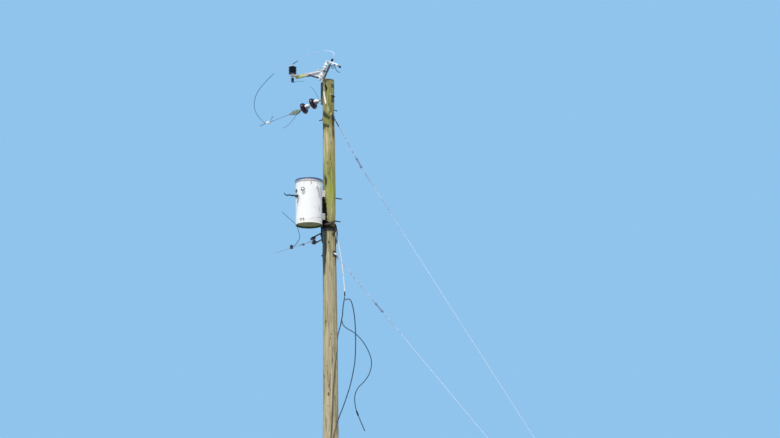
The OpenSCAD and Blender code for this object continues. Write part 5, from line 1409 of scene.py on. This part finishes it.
# A lead is (radius in mm, side, places on the wall); a place is (azimuth, height, distance off it in mm)
ASLANT = (0.2, 0.3, 1)
WOUND = [
    (7.5, ASLANT, [
        (-170, 6.534, 9), (-120, 6.534, 9), (-80, 6.537, 9), (-38, 6.537, 9), (-10, 6.535, 9),
        (22, 6.535, 9), (38, 6.537, 9)]),
    (7.0, ASLANT, [
        (-168, 6.55, 9), (-120, 6.556, 9), (-80, 6.557, 9), (-45, 6.552, 9), (-15, 6.549, 10),
        (20, 6.549, 10), (42, 6.551, 9)]),
    (7.5, UP, [
        (-152, 6.655, 9), (-118, 6.662, 10), (-88, 6.645, 9), (-60, 6.64, 9), (-30, 6.606, 9),
        (-8, 6.597, 9), (10, 6.59, 9), (30, 6.583, 9), (60, 6.579, 9), (110, 6.58, 9)]),
    (7.5, UP, [
        (-150, 6.62, 9), (-100, 6.635, 9), (-65, 6.615, 9), (-38, 6.583, 11), (-20, 6.566, 11),
        (-4, 6.559, 12), (12, 6.553, 12), (30, 6.556, 12), (50, 6.562, 10), (80, 6.56, 9),
        (120, 6.55, 9)]),
    (8.0, ASLANT, [
        (-150, 6.6, 9), (-95, 6.612, 10), (-60, 6.592, 10), (-40, 6.574, 9), (-26, 6.562, 9),
        (-12, 6.547, 13)]),
    (8.0, ASLANT, [
        (-150, 6.58, 9), (-90, 6.59, 9), (-62, 6.575, 9), (-45, 6.566, 9), (-30, 6.552, 12),
        (-15, 6.54, 12)]),
    (7.0, ASLANT, [
        (36, 6.6, 9), (52, 6.575, 14), (57, 6.52, 22), (57, 6.48, 28), (57, 6.45, 26), (57, 6.4, 22),
        (57, 6.36, 20), (57, 6.315, 20)]),
    (8.0, ASLANT, [
        (-112, 6.66, 9), (-119, 6.61, 10), (-121, 6.56, 13), (-121, 6.5, 12), (-121, 6.44, 6),
        (-121, 6.38, 3), (-120, 6.33, 0)]),
    # These two dark leads hang in the gap between the tank and the pole, tied between the hangers, and
    # stand in for the gap's shade
    (8.0, ASLANT, [
        (-104, 6.985, 4), (-114, 6.97, 2), (-118, 6.93, 0), (-118, 6.85, -1), (-120, 6.76, 0),
        (-119, 6.68, 4), (-112, 6.62, 8)]),
    (8.5, ASLANT, [
        (-108, 6.975, 11), (-118, 6.94, 13), (-120, 6.87, 14), (-120, 6.78, 14), (-121, 6.7, 15),
        (-119, 6.62, 17), (-120, 6.56, 19)]),
    (8.5, ASLANT, [
        (38, 6.545, 9), (34, 6.515, 14), (29, 6.482, 12), (23, 6.452, 9), (12, 6.436, 9), (2, 6.434, 7)])]
STRAP_RUN = [
    (-60, 6.586, 17), (-40, 6.588, 18), (-24, 6.594, 18), (-11, 6.603, 18), (10, 6.62, 12), (31, 6.637, 4),
    (45, 6.648, 3), (80, 6.66, 3)]


def on_wall(places):
    """Points on the pole's wall from (azimuth, height, distance off it in millimetres)."""
    a, z, off = np.asarray(places, float).T
    r = pole_radius(z) + off * MM
    return np.stack([r * np.cos(np.radians(a)), r * np.sin(np.radians(a)), z], -1)


def wound_leads():
    """The black leads wound and tucked round the pole."""
    leads = [tube(smooth_route(on_wall(places), 0.008), circle(radius * MM), side)
             for radius, side, places in WOUND]
    make("wound_leads", leads, "black_insulation", NODE_FINISHES["lead_wrap"], replaces=["lead_wrap"])


def lashing_strap():
    """The thin flat strap that lashes the wound leads."""
    path = smooth_route(on_wall(STRAP_RUN), 0.005)
    make("lashing_strap", [tube(path, oblong(0.0022, 0.0125, 0.5, 0.4, 20), UP)], "rusty_steel")


def lag_screw():
    """The lag screw above the upper guy, its head the thick end."""
    route = [(45, 69, 8370), (60, 92, 8362), (75, 115, 8353)]
    shank = swept(route, (6, 6, 6.5, 7.5, 7.5), UP, np.eye(4), 6)
    make("lag_screw", [shank], "rusty_steel", NODE_FINISHES["guy_bolts"], sharp=25.0)


def guy_fittings():
    """The pale fitting on the lower guy's plate and the dark sleeve on the upper guy."""
    fitting = swept([(98, -17, 6159), (112, -19, 6149), (136, -19, 6132), (152, -17, 6121)],
                    (6, 12.5, 13.5, 12, 6), UP, ON_GUY)
    make("lower_guy_fitting", [fitting], "galvanised_steel", NODE_FINISHES["lower_fitting"])
    plate, middle = guy_start(*UPPER_SPAN)
    path = straight(toward(plate, middle, 0.03), toward(plate, middle, 0.135), 0.005)
    outline = rounds(spread(len(path), (0.0, 0.1, 0.85, 1.0), (7.2, 9.0, 8.4, 6.8)), 14)
    make("upper_guy_sleeve", [tube(put(path, ON_GUY), outline, ON_GUY[:3, 1])], "dark_steel",
         NODE_FINISHES["guy_bolts"])


wound_leads()
lashing_strap()
lag_screw()
guy_fittings()


# Light and stage

SUN_HEADING, SUN_HEIGHT = np.radians((-54.0, 60.0))
SUN_STRENGTH = 3.08
SKY = "#90c4ed"
FLOOR_RINGS = (60.0, 30.0, 12.0, 5.0, 0.0)
FLOOR_DROP = 0.003


def hang_sun():
    """A soft sun from the camera's left, 60 degrees up."""
    level = np.cos(SUN_HEIGHT)
    back = np.array((np.cos(SUN_HEADING) * level, np.sin(SUN_HEADING) * level, np.sin(SUN_HEIGHT)))
    right = unit(np.cross(UP, back))
    sun = bpy.data.lights.new("soft_sun", "SUN")
    sun.energy = SUN_STRENGTH
    sun.angle = np.radians(5.0)
    sun.color = (1.0, 0.985, 0.955)
    lamp = add_object("soft_sun", sun)
    lamp.matrix_world = standing(right, np.cross(back, right), back)


def paint_sky():
    """A neutral fill from all round; the camera and mirrored or transmitted rays see a pale blue."""
    world = bpy.data.worlds.new("pale_sky")
    bpy.context.scene.world = world
    world.use_nodes = True
    tree = world.node_tree
    tree.nodes.clear()
    rays = node(tree, "LightPath").outputs
    mirrored = maths(tree, "MAXIMUM", rays["Is Glossy Ray"], rays["Is Transmission Ray"])
    seen = maths(tree, "MAXIMUM", rays["Is Camera Ray"], mirrored)
    fill = node(tree, "Background", {"Color": (0.94, 0.97, 1.0, 1.0), "Strength": 0.45}).outputs[0]
    sky = node(tree, "Background", {"Color": rgb(SKY), "Strength": 1.0}).outputs[0]
    both = node(tree, "MixShader", {0: seen, 1: fill, 2: sky}).outputs[0]
    node(tree, "OutputWorld", {"Surface": both})


def lay_floor():
    """A pale floor: rings of points round the pole, in two close tones."""
    radius = np.array(FLOOR_RINGS)[:, None]
    angle = ring_angles(64)[None, :]
    grid = np.stack([radius * np.cos(angle), radius * np.sin(angle), -FLOOR_DROP + 0 * radius * angle], -1)
    made, tree, shader, where = finish("pale floor", rough=0.9, specular=0.1)
    tone = window(tree, noise(tree, where, 0.8, 5.0), 0.3, 0.7)
    tree.links.new(mix(tree, tone, "#d5dbe0", "#dbe1e5"), shader.inputs["Base Color"])
    mesh = bpy.data.meshes.new("pale_floor")
    mesh.from_pydata(grid.reshape(-1, 3).tolist(), [], quads(len(FLOOR_RINGS), 64, True).tolist())
    mesh.materials.append(made)
    add_object("pale_floor", mesh)


hang_sun()
paint_sky()
lay_floor()
bpy.context.scene.view_settings.view_transform = "Standard"
